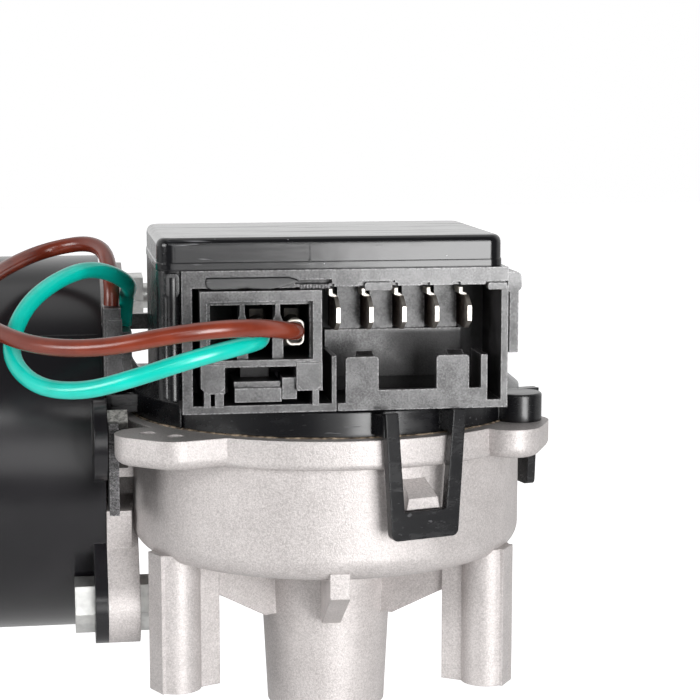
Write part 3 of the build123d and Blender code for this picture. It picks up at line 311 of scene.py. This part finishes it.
# ---- Motor yoke -------------------------------------------------------------------
# The drawn steel can of the motor, with a cup at its closed end for the rear bush and
# pressed ears on its rim. One fine line from drawing runs along it, under a single coat
# of black paint that is satin and very smooth.
yoke_dark, yoke_light = (0.005, 0.0045, 0.006), (0.011, 0.01, 0.012)
yoke_paint = Finish("yoke_paint", Specular_IOR_Level=0.5)
yoke_peel = yoke_paint.noise(0.0012, 2.0)
yoke_dust = yoke_paint.noise(0.02, 4.0)
yoke_paint.wire(
    "Base Color", yoke_paint.blend(yoke_dust.step(0.35, 0.75), yoke_dark, yoke_light))
yoke_paint.wire("Roughness", 0.2 + 0.08 * yoke_dust)
yoke_paint.bump(yoke_peel, 0.000006, strength=0.8, soften=0.0003)
dress(yoke_paint, "motor_yoke")

seam_radius = 0.00013
seam_place = (0.00376, 0.06894)
seam_ends = (-0.129, -0.0462)
seam_curve = bpy.data.curves.new("yoke_seam", "CURVE")
seam_curve.dimensions = "3D"
seam_curve.bevel_depth = seam_radius
seam_curve.bevel_resolution = 3
seam_curve.use_fill_caps = True
seam_line = seam_curve.splines.new("POLY")
seam_line.points.add(len(seam_ends) - 1)
for seam_point, seam_x in zip(seam_line.points, seam_ends):
    seam_point.co = (seam_x, *seam_place, 1.0)
seam_curve.materials.append(yoke_paint.material)
yoke_seam = bpy.data.objects.new("yoke_seam", seam_curve)
bpy.context.collection.objects.link(yoke_seam)
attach(yoke_seam, "housing")


# ---- Gear cover and box lid -------------------------------------------------------
# Moulded in glossy black plastic. The cover closes the gear case on a bead of sealing
# compound and snaps over its rim with three loops. The lid closes the control box on top
# of it, with a raised band round its foot and a line where the mould parts.
def gloss_plastic(name, smoothness, marks):
    """Black gloss plastic: roughness at least smoothness, with rub marks and fine scratches."""
    finish = Finish(name, Specular_IOR_Level=0.5)
    wave = finish.noise(0.007, 2.0)
    rub = finish.noise(0.0035, 4.0, 0.7, stretch=(0.12, 1.0, 1.0)).step(0.45, 0.8)
    scratch = finish.noise(0.0006, 2.0, 0.5, stretch=(0.05, 1.0, 1.0)).step(0.64, 0.72)
    patch = finish.noise(0.012, 2.0).step(0.5, 0.62)
    dust = 1.0 - finish.cells(0.0036).step(0.02, 0.04)
    shown = marks * dust.most(0.7 * scratch * patch)
    finish.wire("Base Color", finish.blend(shown, (0.005, 0.005, 0.006), (0.2, 0.2, 0.21)))
    finish.wire("Roughness", smoothness + 0.14 * rub + 0.12 * scratch)
    finish.bump(wave, 0.00004, strength=0.6, soften=0.0004)
    return finish


gloss = gloss_plastic("gloss_moulding", smoothness=0.13, marks=1.0)
cover_gloss = gloss_plastic("cover_moulding", smoothness=0.24, marks=0.3)
dress(gloss, "box_lid", "relay", "park_sensor")
dress(cover_gloss, "gear_cover")


def add_piece(name, shape, finish, body="housing", edge=0.0):
    """Makes an object of a bmesh, with its edges rounded by edge metres."""
    bmesh.ops.recalc_face_normals(shape, faces=shape.faces)
    mesh = bpy.data.meshes.new(name)
    shape.to_mesh(mesh)
    shape.free()
    mesh.materials.append(finish.material)
    piece = bpy.data.objects.new(name, mesh)
    bpy.context.collection.objects.link(piece)
    if edge:
        rounding = piece.modifiers.new("rounded_edges", "BEVEL")
        rounding.width = edge
        rounding.segments = 3
    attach(piece, body)


def draw_bar(shape, outline, front, rear):
    """A bar with its outline in x and z that runs from front to rear in y, in mm."""
    near = [shape.verts.new((x / 1000, front / 1000, z / 1000)) for x, z in outline]
    far = [shape.verts.new((x / 1000, rear / 1000, z / 1000)) for x, z in outline]
    shape.faces.new(near)
    shape.faces.new(far[::-1])
    for index in range(len(near)):
        shape.faces.new((near[index - 1], near[index], far[index], far[index - 1]))


def draw_box(shape, left, right, front, rear, low, high):
    draw_bar(shape, ((left, low), (right, low), (right, high), (left, high)), front, rear)


def fine_line(low_middle, high_middle, low, high, low_half, high_half):
    """The outline of a fine upright line, which may lean or taper, in x and z."""
    return (
        (low_middle - low_half, low), (low_middle + low_half, low),
        (high_middle + high_half, high), (high_middle - high_half, high),
    )


def rounded_rectangle(left, right, low, high, radius, steps=8):
    """Points round a rectangle whose corners are arcs."""
    corners = ((right, high, 0), (left, high, 1), (left, low, 2), (right, low, 3))
    points = []
    for u, v, quarter in corners:
        centre_u = u - radius if quarter in (0, 3) else u + radius
        centre_v = v - radius if quarter in (0, 1) else v + radius
        for step in range(steps + 1):
            angle = math.radians(90 * (quarter + step / steps))
            along_u, along_v = radius * math.cos(angle), radius * math.sin(angle)
            points.append((centre_u + along_u, centre_v + along_v))
    return points


def skin(shape, rings, closed=True):
    """Skins rings of points in mm; the rings close on each other, or get a cap at each end."""
    rows = [
        [shape.verts.new([value / 1000 for value in point]) for point in ring] for ring in rings
    ]
    following = rows[1:] + rows[:1] if closed else rows[1:]
    for here, after in zip(rows, following):
        for index in range(len(here)):
            shape.faces.new((here[index - 1], here[index], after[index], after[index - 1]))
    if not closed:
        shape.faces.new(rows[0])
        shape.faces.new(rows[-1][::-1])


lid_left, lid_right, lid_front, lid_rear = -36.4, 28.1, -39.7, 1.0
lid_low, lid_corner = 85.9, 3.0
band_root, band_proud, band_top = -0.3, 0.16, 87.35
band_section = (
    (band_root, lid_low), (band_proud, lid_low), (band_proud, band_top - 0.1),
    (0.06, band_top), (band_root, band_top),
)
lid_path = rounded_rectangle(lid_left, lid_right, lid_front, lid_rear, lid_corner)
band_rings = []
for index, (x, y) in enumerate(lid_path):
    before = Vector(lid_path[index - 1])
    after = Vector(lid_path[(index + 1) % len(lid_path)])
    run = (after - before).normalized()
    band_rings.append([(x + out * run.y, y - out * run.x, z) for out, z in band_section])
lid_band = bmesh.new()
skin(lid_band, band_rings)
add_piece("lid_band", lid_band, gloss)

parting_x, parting_top, pip_half = -8.4, 90.7, 0.28
pip_z = 87.38
scuff = fine_line(-33.19, -33.15, 86.0, 90.9, 0.06, 0.06)
pip = rounded_rectangle(
    parting_x - pip_half, parting_x + pip_half, pip_z - pip_half, pip_z + pip_half, 0.25, 4)
lid_parting_line = bmesh.new()
draw_bar(
    lid_parting_line, fine_line(parting_x, parting_x, 87.3, parting_top, 0.08, 0.06),
    lid_front - 0.05, lid_front + 0.3)
draw_bar(lid_parting_line, pip, lid_front - band_proud - 0.12, lid_front + 0.3)
draw_bar(lid_parting_line, scuff, lid_front - 0.06, lid_front + 0.4)
add_piece("lid_parting_line", lid_parting_line, gloss)

rib_rear, rib_low, rib_high = -38.3, 62.0, 82.0
corner_ribs = bmesh.new()
draw_bar(corner_ribs, rounded_rectangle(-35.1, -32.3, 80.9, 85.5, 0.9, 6), -39.45, rib_rear)
draw_box(corner_ribs, -35.4, -34.6, -39.2, rib_rear, rib_low, rib_high)
draw_box(corner_ribs, -33.7, -33.1, -39.05, rib_rear, rib_low, rib_high)
add_piece("corner_ribs", corner_ribs, cover_gloss, edge=0.00025)

ridge_x, ridge_low, ridge_high = -31.55, 54.1, 58.6
skirt_ridge = bmesh.new()
draw_bar(
    skirt_ridge, fine_line(ridge_x, ridge_x, ridge_low, ridge_high, 0.2, 0.15), -25.2, -24.0)
add_piece("skirt_ridge", skirt_ridge, cover_gloss, edge=0.0001)

compound_dark, compound_pale = (0.045, 0.03, 0.018), (0.36, 0.28, 0.2)
compound = Finish("sealing_compound", Specular_IOR_Level=0.4)
compound_lumps = compound.noise(0.0012, 3.0)
compound.wire(
    "Base Color", compound.blend(compound_lumps.step(0.35, 0.65), compound_dark, compound_pale))
compound.wire("Roughness", 0.4 + 0.3 * compound_lumps)
compound.bump(compound_lumps, 0.0001)

bead_radius, bead_z = 39.95, 54.05
bead_half_wide, bead_half_tall = 0.3, 0.22
bead_steps, bead_sides = 180, 8
bead_rings = []
for step in range(bead_steps):
    angle = 2 * math.pi * step / bead_steps
    swell = 0.05 * math.sin(17 * angle) + 0.04 * math.sin(41 * angle + 1.0)
    ring = []
    for side in range(bead_sides):
        turn = 2 * math.pi * side / bead_sides
        out = bead_radius + swell + bead_half_wide * math.cos(turn)
        rise = (bead_half_tall + swell) * math.sin(turn)
        ring.append((out * math.cos(angle), out * math.sin(angle), bead_z + rise))
    bead_rings.append(ring)
sealing_bead = bmesh.new()
skin(sealing_bead, bead_rings)
add_piece("sealing_bead", sealing_bead, compound)


# ---- Connector housing and plug ---------------------------------------------------
# Glass-filled black plastic, duller than the cover: a fine grey mottle of fibres and thin
# edges lighter in colour. The sockets are painted dark inside as shade, duller and without
# lighter edges there, with more painted shade low and to the right on the back wall.
# Housing, plug and latch are moulded and snap together. The brush plate and its ribbed
# tongue are of it too.
def filled_plastic(name, open_front, shade_depth, polish=0.16, back_wall_shade=0.0, edge_lightness=0.85):
    """Filled plastic, painted dark as shade and duller where it lies more than the given depth
    behind open_front, in metres.
    """
    finish = Finish(name, Specular_IOR_Level=0.3, Coat_Roughness=0.26, Coat_IOR=1.55)
    fibre = finish.noise(0.0004, 3.0, 0.8)
    cloud = finish.noise(0.003, 3.0, 0.6)
    tone = 0.6 * fibre + 0.4 * cloud
    behind = open_front + shade_depth
    # Painted shade on the housing's back wall below the shelf: darker towards the bottom and to the
    # right.
    back_wall = finish.along("Y").step(-0.031, -0.029)
    below_shelf = 1.0 - finish.along("Z").step(0.072, 0.0732)
    low = 1.0 - finish.along("Z").step(0.0655, 0.0725)
    right = finish.along("X").step(0.003, 0.012)
    # Painted shade: the colour darkens more than the given depth behind the open front, and the
    # plastic is duller there.
    unshaded = 1.0 - finish.along("Y").step(behind, behind + 0.002)
    unshaded = unshaded * (1.0 - back_wall_shade * back_wall * below_shelf * low.most(right))
    handled = finish.along("Z").step(0.0812, 0.083) * finish.along("X").step(-0.012, 0.006)
    # The fibre mottle, dimmed inside the sockets as painted shade.
    mottle_and_shade = tone.step(0.36, 0.66) * (0.12 + 0.88 * unshaded)
    face = finish.blend(mottle_and_shade, (0.005, 0.0046, 0.005), (0.07, 0.067, 0.07))
    # Thin edges lighter in colour, outside the sockets only.
    lighter_edge = finish.edge(0.0005) * fibre.step(0.35, 0.62) * unshaded
    coat = polish + 0.4 * tone.step(0.3, 0.6) + (0.6 - polish) * handled
    finish.wire("Base Color", finish.blend(edge_lightness * lighter_edge, face, (0.5, 0.49, 0.5)))
    finish.wire("Roughness", 0.5 - 0.12 * unshaded + 0.2 * (tone - 0.5))
    finish.wire("Coat Weight", unshaded * coat)
    finish.bump(fibre, 0.00007, strength=0.9, soften=0.00025)
    return finish


def recut(name, node_name, boxes, finish, weld=0.000001):
    """Cuts boxes out of a copy of a CAD node, and the copy stands for the node."""
    mesh = nodes[node_name].data.copy()
    mesh.materials.clear()
    mesh.materials.append(finish.material)
    whole = bmesh.new()
    whole.from_mesh(mesh)
    bmesh.ops.remove_doubles(whole, verts=whole.verts, dist=weld)
    whole.to_mesh(mesh)
    whole.free()
    cutter_shape = bmesh.new()
    for box in boxes:
        draw_box(cutter_shape, *box)
    bmesh.ops.recalc_face_normals(cutter_shape, faces=cutter_shape.faces)
    cutter_mesh = bpy.data.meshes.new("cutter")
    cutter_shape.to_mesh(cutter_mesh)
    cutter_shape.free()
    cutter = bpy.data.objects.new("cutter", cutter_mesh)
    piece = bpy.data.objects.new(name, mesh)
    bpy.context.collection.objects.link(cutter)
    bpy.context.collection.objects.link(piece)
    cut = piece.modifiers.new("cut", "BOOLEAN")
    cut.object = cutter
    cut.operation = "DIFFERENCE"
    cut.solver = "EXACT"
    cut.use_self = True
    scene_state = bpy.context.evaluated_depsgraph_get()
    piece.data = bpy.data.meshes.new_from_object(piece.evaluated_get(scene_state))
    piece.modifiers.clear()
    bpy.data.objects.remove(cutter)
    for face in piece.data.polygons:
        face.material_index = 0
    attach(piece, "housing")
    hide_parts(node_name)


housing_plastic = filled_plastic("filled_moulding", open_front=-0.04, shade_depth=0.0139, back_wall_shade=0.92)
plate_plastic = filled_plastic("plate_moulding", open_front=0.0, shade_depth=1.0, edge_lightness=0.6)
dress(plate_plastic, "brush_plate")

opening_top, cut_overlap = 82.6, 0.4
cut_front, cut_rear = -41.0, -38.8
blade_slots = ((-5.3, -3.95), (0.7, 2.2), (6.7, 8.0), (12.55, 14.05), (18.4, 19.9))
cut_low = opening_top - cut_overlap
over_blades = [
    (left, right, cut_front, cut_rear, cut_low, opening_top + 0.55) for left, right in blade_slots
]
arch = (1.3, 7.5, cut_front, cut_rear, cut_low, opening_top + 0.95)
latch_slot = (-11.2, -4.35, -41.2, -37.0, 83.1, 83.95)
hook_slot = (24.6, 28.9, cut_front, -39.0, opening_top - 0.3, 83.2)
plain_latch_bar = (-27.8, -10.2, cut_front, -40.0, 82.3, 84.7)
housing_cuts = [*over_blades, arch, latch_slot, hook_slot, plain_latch_bar]
recut("socket_block", "connector_housing", housing_cuts, housing_plastic)

comb_left, comb_right, comb_low, comb_high = -10.3, -4.7, 82.3, 83.1
comb_teeth, tooth_pitch, tooth_width = 10, 0.57, 0.3
detail_rear = -38.6
socket_details = bmesh.new()
arch_bar = rounded_rectangle(1.8, 7.0, 81.7, opening_top + 0.66, 0.5, 4)
draw_bar(socket_details, arch_bar, -39.8, -38.7)
hook = rounded_rectangle(25.0, 28.75, 81.6, 82.95, 0.4, 4)
draw_bar(socket_details, hook, -40.35, detail_rear)
draw_box(socket_details, comb_left, comb_right, -39.9, detail_rear, comb_low, comb_high)
for tooth in range(comb_teeth):
    tooth_left = comb_left + 0.05 + tooth_pitch * tooth
    tooth_right = tooth_left + tooth_width
    draw_box(socket_details, tooth_left, tooth_right, -40.3, -39.7, comb_low, comb_high)
add_piece("socket_details", socket_details, housing_plastic, edge=0.00008)

cap_front, cap_rear, cap_low, cap_lean = -40.75, -39.7, 82.3, 0.28
cap_outline = (
    (-27.6, 84.6), (-12.4, 84.6), (-10.9, 84.15), (-10.5, 83.7), (-12.3, 83.1),
    (-14.4, 82.55), (-16.4, cap_low), (-19.4, 82.4), (-20.4, 82.6), (-22.6, 82.35),
    (-26.7, cap_low), (-27.5, 82.7), (-27.8, 83.6),
)
latch_cap = bmesh.new()
draw_bar(latch_cap, cap_outline, cap_front, cap_rear)
for corner in latch_cap.verts:
    if corner.co.y < (cap_front + 0.05) / 1000:
        corner.co.y += cap_lean * (corner.co.z - cap_low / 1000)
add_piece("latch_cap", latch_cap, gloss, edge=0.0003)

tongue_left, tongue_right, tongue_front, tongue_rear = -45.2, -43.3, -23.0, -14.0
tongue_low, tongue_high = 37.0, 55.0
ridge_count, ridge_pitch, ridge_tall, ridge_proud = 36, 0.5, 0.28, 0.12
plate_tongue = bmesh.new()
draw_box(
    plate_tongue, tongue_left, tongue_right, tongue_front, tongue_rear, tongue_low, tongue_high)
for ridge in range(ridge_count):
    foot = tongue_low + 0.25 + ridge_pitch * ridge
    draw_box(
        plate_tongue, tongue_left, tongue_right, tongue_front - ridge_proud, tongue_front + 0.2,
        foot, foot + ridge_tall)
add_piece("plate_tongue", plate_tongue, plate_plastic, edge=0.00005)

plug_plastic = filled_plastic("plug_moulding", open_front=-0.0422, shade_depth=0.0031, polish=0.36)
divider_places = (-20.975, -14.425)
neck_half, flare_reach = 0.38, 2.0
flare_box = (-39.7, -37.4, 76.7, 79.39)
flare_cuts = []
for middle in divider_places:
    flare_cuts.append((middle - flare_reach, middle - neck_half, *flare_box))
    flare_cuts.append((middle + neck_half, middle + flare_reach, *flare_box))
recut("plug_body", "plug_housing", flare_cuts, plug_plastic)

divider_outline = (
    (-0.42, 79.6), (0.42, 79.6), (0.48, 77.6), (1.0, 76.2),
    (1.0, 69.3), (-1.0, 69.3), (-1.0, 76.2), (-0.48, 77.6),
)
plug_corners = ((-24.5, 63.4, -1), (-11.3, 63.7, 1), (-6.5, 63.7, -1))
corner_size, corner_front, corner_rear = 1.2, -42.41, -26.0
plug_details = bmesh.new()
for middle in divider_places:
    draw_bar(plug_details, [(middle + x, z) for x, z in divider_outline], -39.75, -38.7)
for x, z, side in plug_corners:
    wedge = ((x, z), (x + corner_size * side, z), (x, z + corner_size))
    draw_bar(plug_details, wedge, corner_front, corner_rear)
add_piece("plug_details", plug_details, plug_plastic)


# ---- Blades and terminals ---------------------------------------------------------
# Stamped brass, tin plated, with drawn lines along the blades, a painted highlight at
# their tips and painted shade behind them. The barrels of the terminals are rolled round
# the ends of the leads, each with a bright collar, and the tin deep inside the plug is
# painted dark as shade.
tin = Finish("tin_plate", Metallic=0.75, Specular_IOR_Level=0.5)
tin_cloud = tin.noise(0.0015, 3.0)
tin_lines = tin.noise(0.0003, 2.0, 0.5, stretch=(1.0, 0.1, 1.0))
# Painted highlight on the blade tips near the open front, and painted shade deeper in the socket.
tip_highlight = 1.0 - tin.along("Y").step(-0.0338, -0.0295)
tin_in_shade = tin.blend(tin_cloud.step(0.3, 0.7), (0.13, 0.095, 0.075), (0.3, 0.24, 0.2))
tin_in_light = tin.blend(tin_cloud.step(0.3, 0.7), (0.6, 0.55, 0.5), (0.85, 0.8, 0.73))
tin.wire("Base Color", tin.blend(tip_highlight, tin_in_shade, tin_in_light))
tin.wire("Roughness", 0.24 + 0.22 * tin_lines)
tin.bump(tin_lines, 0.00001, strength=0.6, soften=0.0001)
dress(tin, "power_blades")

bright_low, bright_high = (0.66, 0.62, 0.55), (0.92, 0.89, 0.83)
bright_tin = Finish("bright_tin", Metallic=0.35, Specular_IOR_Level=0.6)
bright_cloud = bright_tin.noise(0.0006, 3.0)
bright_tin.wire(
    "Base Color", bright_tin.blend(bright_cloud.step(0.3, 0.7), bright_low, bright_high))
bright_tin.wire("Roughness", 0.25 + 0.2 * bright_cloud)
bright_tin.bump(bright_cloud, 0.00003)

blade_count, first_blade, blade_pitch = 5, -2.3, 6.3
ear_front, ear_rear = -30.2, -25.9
ear_outline = (
    (0.3, 79.4), (0.3, 79.9), (-0.5, 80.3), (-0.5, 81.2),
    (-1.3, 81.2), (-1.3, 79.9), (-0.3, 79.4),
)
blade_ears = bmesh.new()
for index in range(blade_count):
    blade = first_blade + blade_pitch * index
    draw_bar(blade_ears, [(blade + x, z) for x, z in ear_outline], ear_front, ear_rear)
add_piece("blade_ears", blade_ears, bright_tin, edge=0.00015)

plug_cells = (-17.7, -11.15)
collar_half, collar_low, collar_high, collar_corner = 1.5, 71.95, 76.35, 1.0
collar_y, collar_wall, collar_depth, collar_sides = -39.0, 0.27, 0.45, 10
collar_z = (collar_low + collar_high) / 2
crimp_collars = bmesh.new()
for cell in plug_cells:
    collar_path = rounded_rectangle(
        cell - collar_half, cell + collar_half, collar_low, collar_high, collar_corner, 6)
    collar_rings = []
    for x, z in collar_path:
        run_out = Vector((x - cell, z - collar_z)).normalized()
        ring = []
        for side in range(collar_sides):
            turn = 2 * math.pi * side / collar_sides
            out = collar_wall * math.cos(turn)
            depth = collar_y + collar_depth * math.sin(turn)
            ring.append((x + out * run_out.x, depth, z + out * run_out.y))
        collar_rings.append(ring)
    skin(crimp_collars, collar_rings)
add_piece("crimp_collars", crimp_collars, bright_tin)

# Tin painted near black as shade, for the terminals deep inside the plug and the motor's blades.
shaded_tin_low, shaded_tin_high = (0.012, 0.011, 0.01), (0.04, 0.036, 0.03)
shaded_tin = Finish("tin_painted_dark", Metallic=0.6, Specular_IOR_Level=0.3)
shaded_tin_cloud = shaded_tin.noise(0.001, 3.0)
shaded_tin.wire(
    "Base Color", shaded_tin.blend(shaded_tin_cloud.step(0.3, 0.7), shaded_tin_low, shaded_tin_high))
shaded_tin.wire("Roughness", 0.45 + 0.2 * shaded_tin_cloud)
shaded_tin.bump(shaded_tin_cloud, 0.00002)
dress(shaded_tin, "plug_terminals", "motor_blades")


# ---- Bolts, nuts and screws -------------------------------------------------------
# Steel, zinc plated: cold-headed hexagons with a dull silver surface. The screw in the
# front ear is weathered, with painted light on top of its head and painted shade below.
zinc_low, zinc_high = (0.55, 0.55, 0.54), (0.76, 0.76, 0.74)
zinc = Finish("zinc_plate", Metallic=0.9)
zinc_spangle = zinc.cells(0.0008)
zinc_cloud = zinc.noise(0.003, 3.0)
zinc.wire("Base Color", zinc.blend(zinc_cloud.step(0.3, 0.7), zinc_low, zinc_high))
zinc.wire("Roughness", 0.3 + 0.2 * zinc_spangle)
zinc.bump(zinc_spangle, 0.00003, strength=0.6, soften=0.0003)
dress(zinc, "yoke_bolts", "yoke_nuts", "thrust_screw", "thrust_lock_nut")
dress(zinc, "magnet_clips", "brush_holders", "bearing_retainer")

weathered_lit_zinc = Finish("weathered_zinc_painted_light", Metallic=0.5, Specular_IOR_Level=0.4)
weather_spots = weathered_lit_zinc.noise(0.0009, 4.0, 0.7)
# Painted light on the top of the screw head, and painted shade below it.
lit_head_top = weathered_lit_zinc.along("Z").step(0.0545, 0.0552)
screw_in_shade = weathered_lit_zinc.blend(
    weather_spots.step(0.38, 0.6), (0.012, 0.011, 0.01), (0.07, 0.065, 0.06))
screw_in_light = weathered_lit_zinc.blend(
    weather_spots.step(0.36, 0.62), (0.2, 0.19, 0.18), (0.6, 0.58, 0.55))
weathered_lit_zinc.wire("Base Color", weathered_lit_zinc.blend(lit_head_top, screw_in_shade, screw_in_light))
weathered_lit_zinc.wire("Roughness", 0.4 + 0.25 * weather_spots)
weathered_lit_zinc.bump(weather_spots, 0.00006)
dress(weathered_lit_zinc, "ear_screw")


# ---- Shafts, bearing and springs --------------------------------------------------
# Turned and ground steel, with the fine rings of turning round each shaft, and a rolled
# thread on the end of the output shaft. The brush springs are wound from steel wire.
turned_low, turned_high = (0.5, 0.5, 0.51), (0.66, 0.66, 0.67)
turned = Finish("turned_steel", Metallic=1.0)
turned_rings = turned.noise(0.0004, 2.0, 0.5, stretch=(0.05, 0.05, 1.0))
turned_film = turned.noise(0.006, 3.0)
turned.wire("Base Color", turned.blend(turned_film.step(0.3, 0.7), turned_low, turned_high))
turned.wire("Roughness", 0.22 + 0.18 * turned_rings)
turned.bump(turned_rings, 0.00001, strength=0.7, soften=0.0002)
dress(turned, "output_shaft", "armature_shaft", "shaft_circlip", "thrust_washer")
dress(turned, "bearing_outer_ring", "bearing_inner_ring", "bearing_balls")

thread_pitch, thread_low, thread_high, thread_root = 1.5, -36.0, -26.6, 4.95
thread_height, flank, crest_half = 0.33, 0.6, 0.09
turn_steps = 36
thread_steps = turn_steps * int((thread_high - thread_low) / thread_pitch)
run_out_steps = turn_steps / 2
thread_rings = []
for step in range(thread_steps + 1):
    angle = 2 * math.pi * step / turn_steps
    middle = thread_low + thread_pitch * step / turn_steps
    fade = min(1.0, step / run_out_steps, (thread_steps - step) / run_out_steps)
    crest = thread_root + 0.05 + thread_height * fade
    thread_section = (
        (thread_root, -flank), (crest, -crest_half), (crest, crest_half), (thread_root, flank),
    )
    thread_rings.append([
        (out * math.cos(angle), out * math.sin(angle), middle + rise)
        for out, rise in thread_section
    ])
shaft_thread = bmesh.new()
skin(shaft_thread, thread_rings, closed=False)
add_piece("shaft_thread", shaft_thread, turned, body="output")

for which, fixed_end in (("upper", 0.06755), ("lower", 0.01645)):
    spring_mesh = nodes["brush_spring_" + which].data.copy()
    spring_mesh.materials.clear()
    spring_mesh.materials.append(turned.material)
    spring = bpy.data.objects.new("coil_spring_" + which, spring_mesh)
    bpy.context.collection.objects.link(spring)
    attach(spring, "housing")
    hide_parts("brush_spring_" + which)
    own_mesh(spring)


# ---- Bushes -----------------------------------------------------------------------
# Sintered bronze, full of oil: brown, dull and finely pored.
# They are pressed into the gear case and the yoke's cup.
bronze_low, bronze_high = (0.2, 0.12, 0.05), (0.5, 0.33, 0.16)
bronze = Finish("sintered_bronze", Metallic=0.8)
bronze_pores = bronze.cells(0.0003)
bronze.wire("Base Color", bronze.blend(bronze_pores.step(0.1, 0.5), bronze_low, bronze_high))
bronze.wire("Roughness", 0.4 + 0.2 * bronze_pores)
bronze.bump(bronze_pores, 0.00004)
dress(bronze, "output_bush_lower", "output_bush_upper", "worm_end_bush", "rear_bush")


# ---- Worm wheel -------------------------------------------------------------------
# Moulded acetal in its natural white, slightly waxy, with six webs inside its ring of
# teeth. It sits tight on the output shaft.
acetal_low, acetal_high = (0.72, 0.7, 0.62), (0.84, 0.82, 0.76)
acetal = Finish("natural_acetal", Specular_IOR_Level=0.5)
acetal_cloud = acetal.noise(0.006, 3.0)
acetal.wire("Base Color", acetal.blend(acetal_cloud.step(0.3, 0.7), acetal_low, acetal_high))
acetal.wire("Roughness", 0.35 + 0.15 * acetal_cloud)
acetal.bump(acetal_cloud, 0.00002, strength=0.5, soften=0.0002)
dress(acetal, "worm_wheel")


# ---- Armature, magnets and brushes ------------------------------------------------
# The core is a stack of steel sheets, the windings enamelled copper, the magnets and
# the brushes pressed from powder.
sheet_low, sheet_high = (0.1, 0.1, 0.11), (0.28, 0.28, 0.29)
sheets = Finish("stacked_sheets", Metallic=0.8)
sheet_lines = sheets.noise(0.0005, 1.0, 0.5, stretch=(1.0, 0.05, 0.05))
sheets.wire("Base Color", sheets.blend(sheet_lines.step(0.4, 0.6), sheet_low, sheet_high))
sheets.wire("Roughness", 0.35 + 0.3 * sheet_lines)
sheets.bump(sheet_lines, 0.00003)
dress(sheets, "armature_core")

copper_low, copper_high = (0.3, 0.1, 0.04), (0.62, 0.25, 0.12)
copper = Finish("enamelled_copper", Metallic=0.9)
copper_turns = copper.noise(0.0006, 1.0, 0.5, stretch=(0.4, 1.0, 1.0))
copper.wire("Base Color", copper.blend(copper_turns.step(0.35, 0.65), copper_low, copper_high))
copper.wire("Roughness", 0.25 + 0.2 * copper_turns)
copper.bump(copper_turns, 0.0001)
dress(copper, "armature_windings", "commutator")

powder_low, powder_high = (0.03, 0.03, 0.032), (0.09, 0.09, 0.095)
powder = Finish("pressed_powder", Metallic=0.2)
powder_grain = powder.noise(0.0006, 4.0)
powder.wire("Base Color", powder.blend(powder_grain.step(0.3, 0.7), powder_low, powder_high))
powder.wire("Roughness", 0.5 + 0.2 * powder_grain)
powder.bump(powder_grain, 0.00004)
dress(powder, "field_magnets", "park_magnet", "carbon_brush_upper", "carbon_brush_lower")


# ---- Seals and circuit board ------------------------------------------------------
# Moulded nitrile rubber, and a glass laminate under green solder resist.
# The seals are pressed in, and the board stands on four posts on the gear cover.
nitrile_low, nitrile_high = (0.008, 0.008, 0.008), (0.03, 0.03, 0.03)
nitrile = Finish("nitrile_rubber", Specular_IOR_Level=0.3)
nitrile_bloom = nitrile.noise(0.002, 3.0)
nitrile.wire("Base Color", nitrile.blend(nitrile_bloom.step(0.4, 0.8), nitrile_low, nitrile_high))
nitrile.wire("Roughness", 0.6 + 0.2 * nitrile_bloom)
nitrile.bump(nitrile_bloom, 0.00003)
dress(nitrile, "shaft_seal", "cover_seal")

resist_low, resist_high = (0.01, 0.09, 0.03), (0.02, 0.16, 0.06)
laminate = Finish("green_laminate", Specular_IOR_Level=0.5)
laminate_weave = laminate.cells(0.0007)
laminate.wire("Base Color", laminate.blend(laminate_weave.step(0.1, 0.6), resist_low, resist_high))
laminate.wire("Roughness", 0.25 + 0.1 * laminate_weave)
laminate.bump(laminate_weave, 0.00001)
dress(laminate, "circuit_board")


# ---- Table ------------------------------------------------------------------------
# A white table top just under the end of the shaft. It is painted matt white, and
# runs back far enough to fade into the white room.
table_half, table_front, table_back, table_height = 1.6, -0.16, 2.2, -0.0425
table_shape = bmesh.new()
table_corners = (
    (-table_half, table_front), (table_half, table_front),
    (table_half, table_back), (-table_half, table_back),
)
table_shape.faces.new([table_shape.verts.new((x, y, 0.0)) for x, y in table_corners])
table_mesh = bpy.data.meshes.new("table")
table_shape.to_mesh(table_mesh)
table_shape.free()
table = bpy.data.objects.new("table", table_mesh)
table.location = (0.0, 0.0, table_height)
bpy.context.collection.objects.link(table)

table_glow, table_gleam = 0.85, 0.3
table_paint = Finish("table_white", Roughness=0.6)
table_cloud = table_paint.noise(0.4, 2.0)
table_paint.wire(
    "Base Color", table_paint.blend(table_cloud, (0.9, 0.9, 0.9), (0.92, 0.92, 0.92)))
glow_sockets = {"Color": white, "Strength": table_glow}
glow = table_paint.add("ShaderNodeEmission", None, glow_sockets)
table_seen = table_paint.add("ShaderNodeLightPath", out="Is Camera Ray")
table_seen = table_seen.most(table_gleam * table_paint.mirrored())
plain = Signal(table_paint, table_paint.shader.outputs[0])
glowing = table_paint.add("ShaderNodeAddShader", None, {0: plain, 1: glow})
table_mix = table_paint.add(
    "ShaderNodeMixShader", None, {0: table_seen, 1: plain, 2: glowing})
table_output = table_paint.tree.nodes["Material Output"]
table_paint.tree.links.new(table_mix.socket, table_output.inputs["Surface"])
table_mesh.materials.append(table_paint.material)
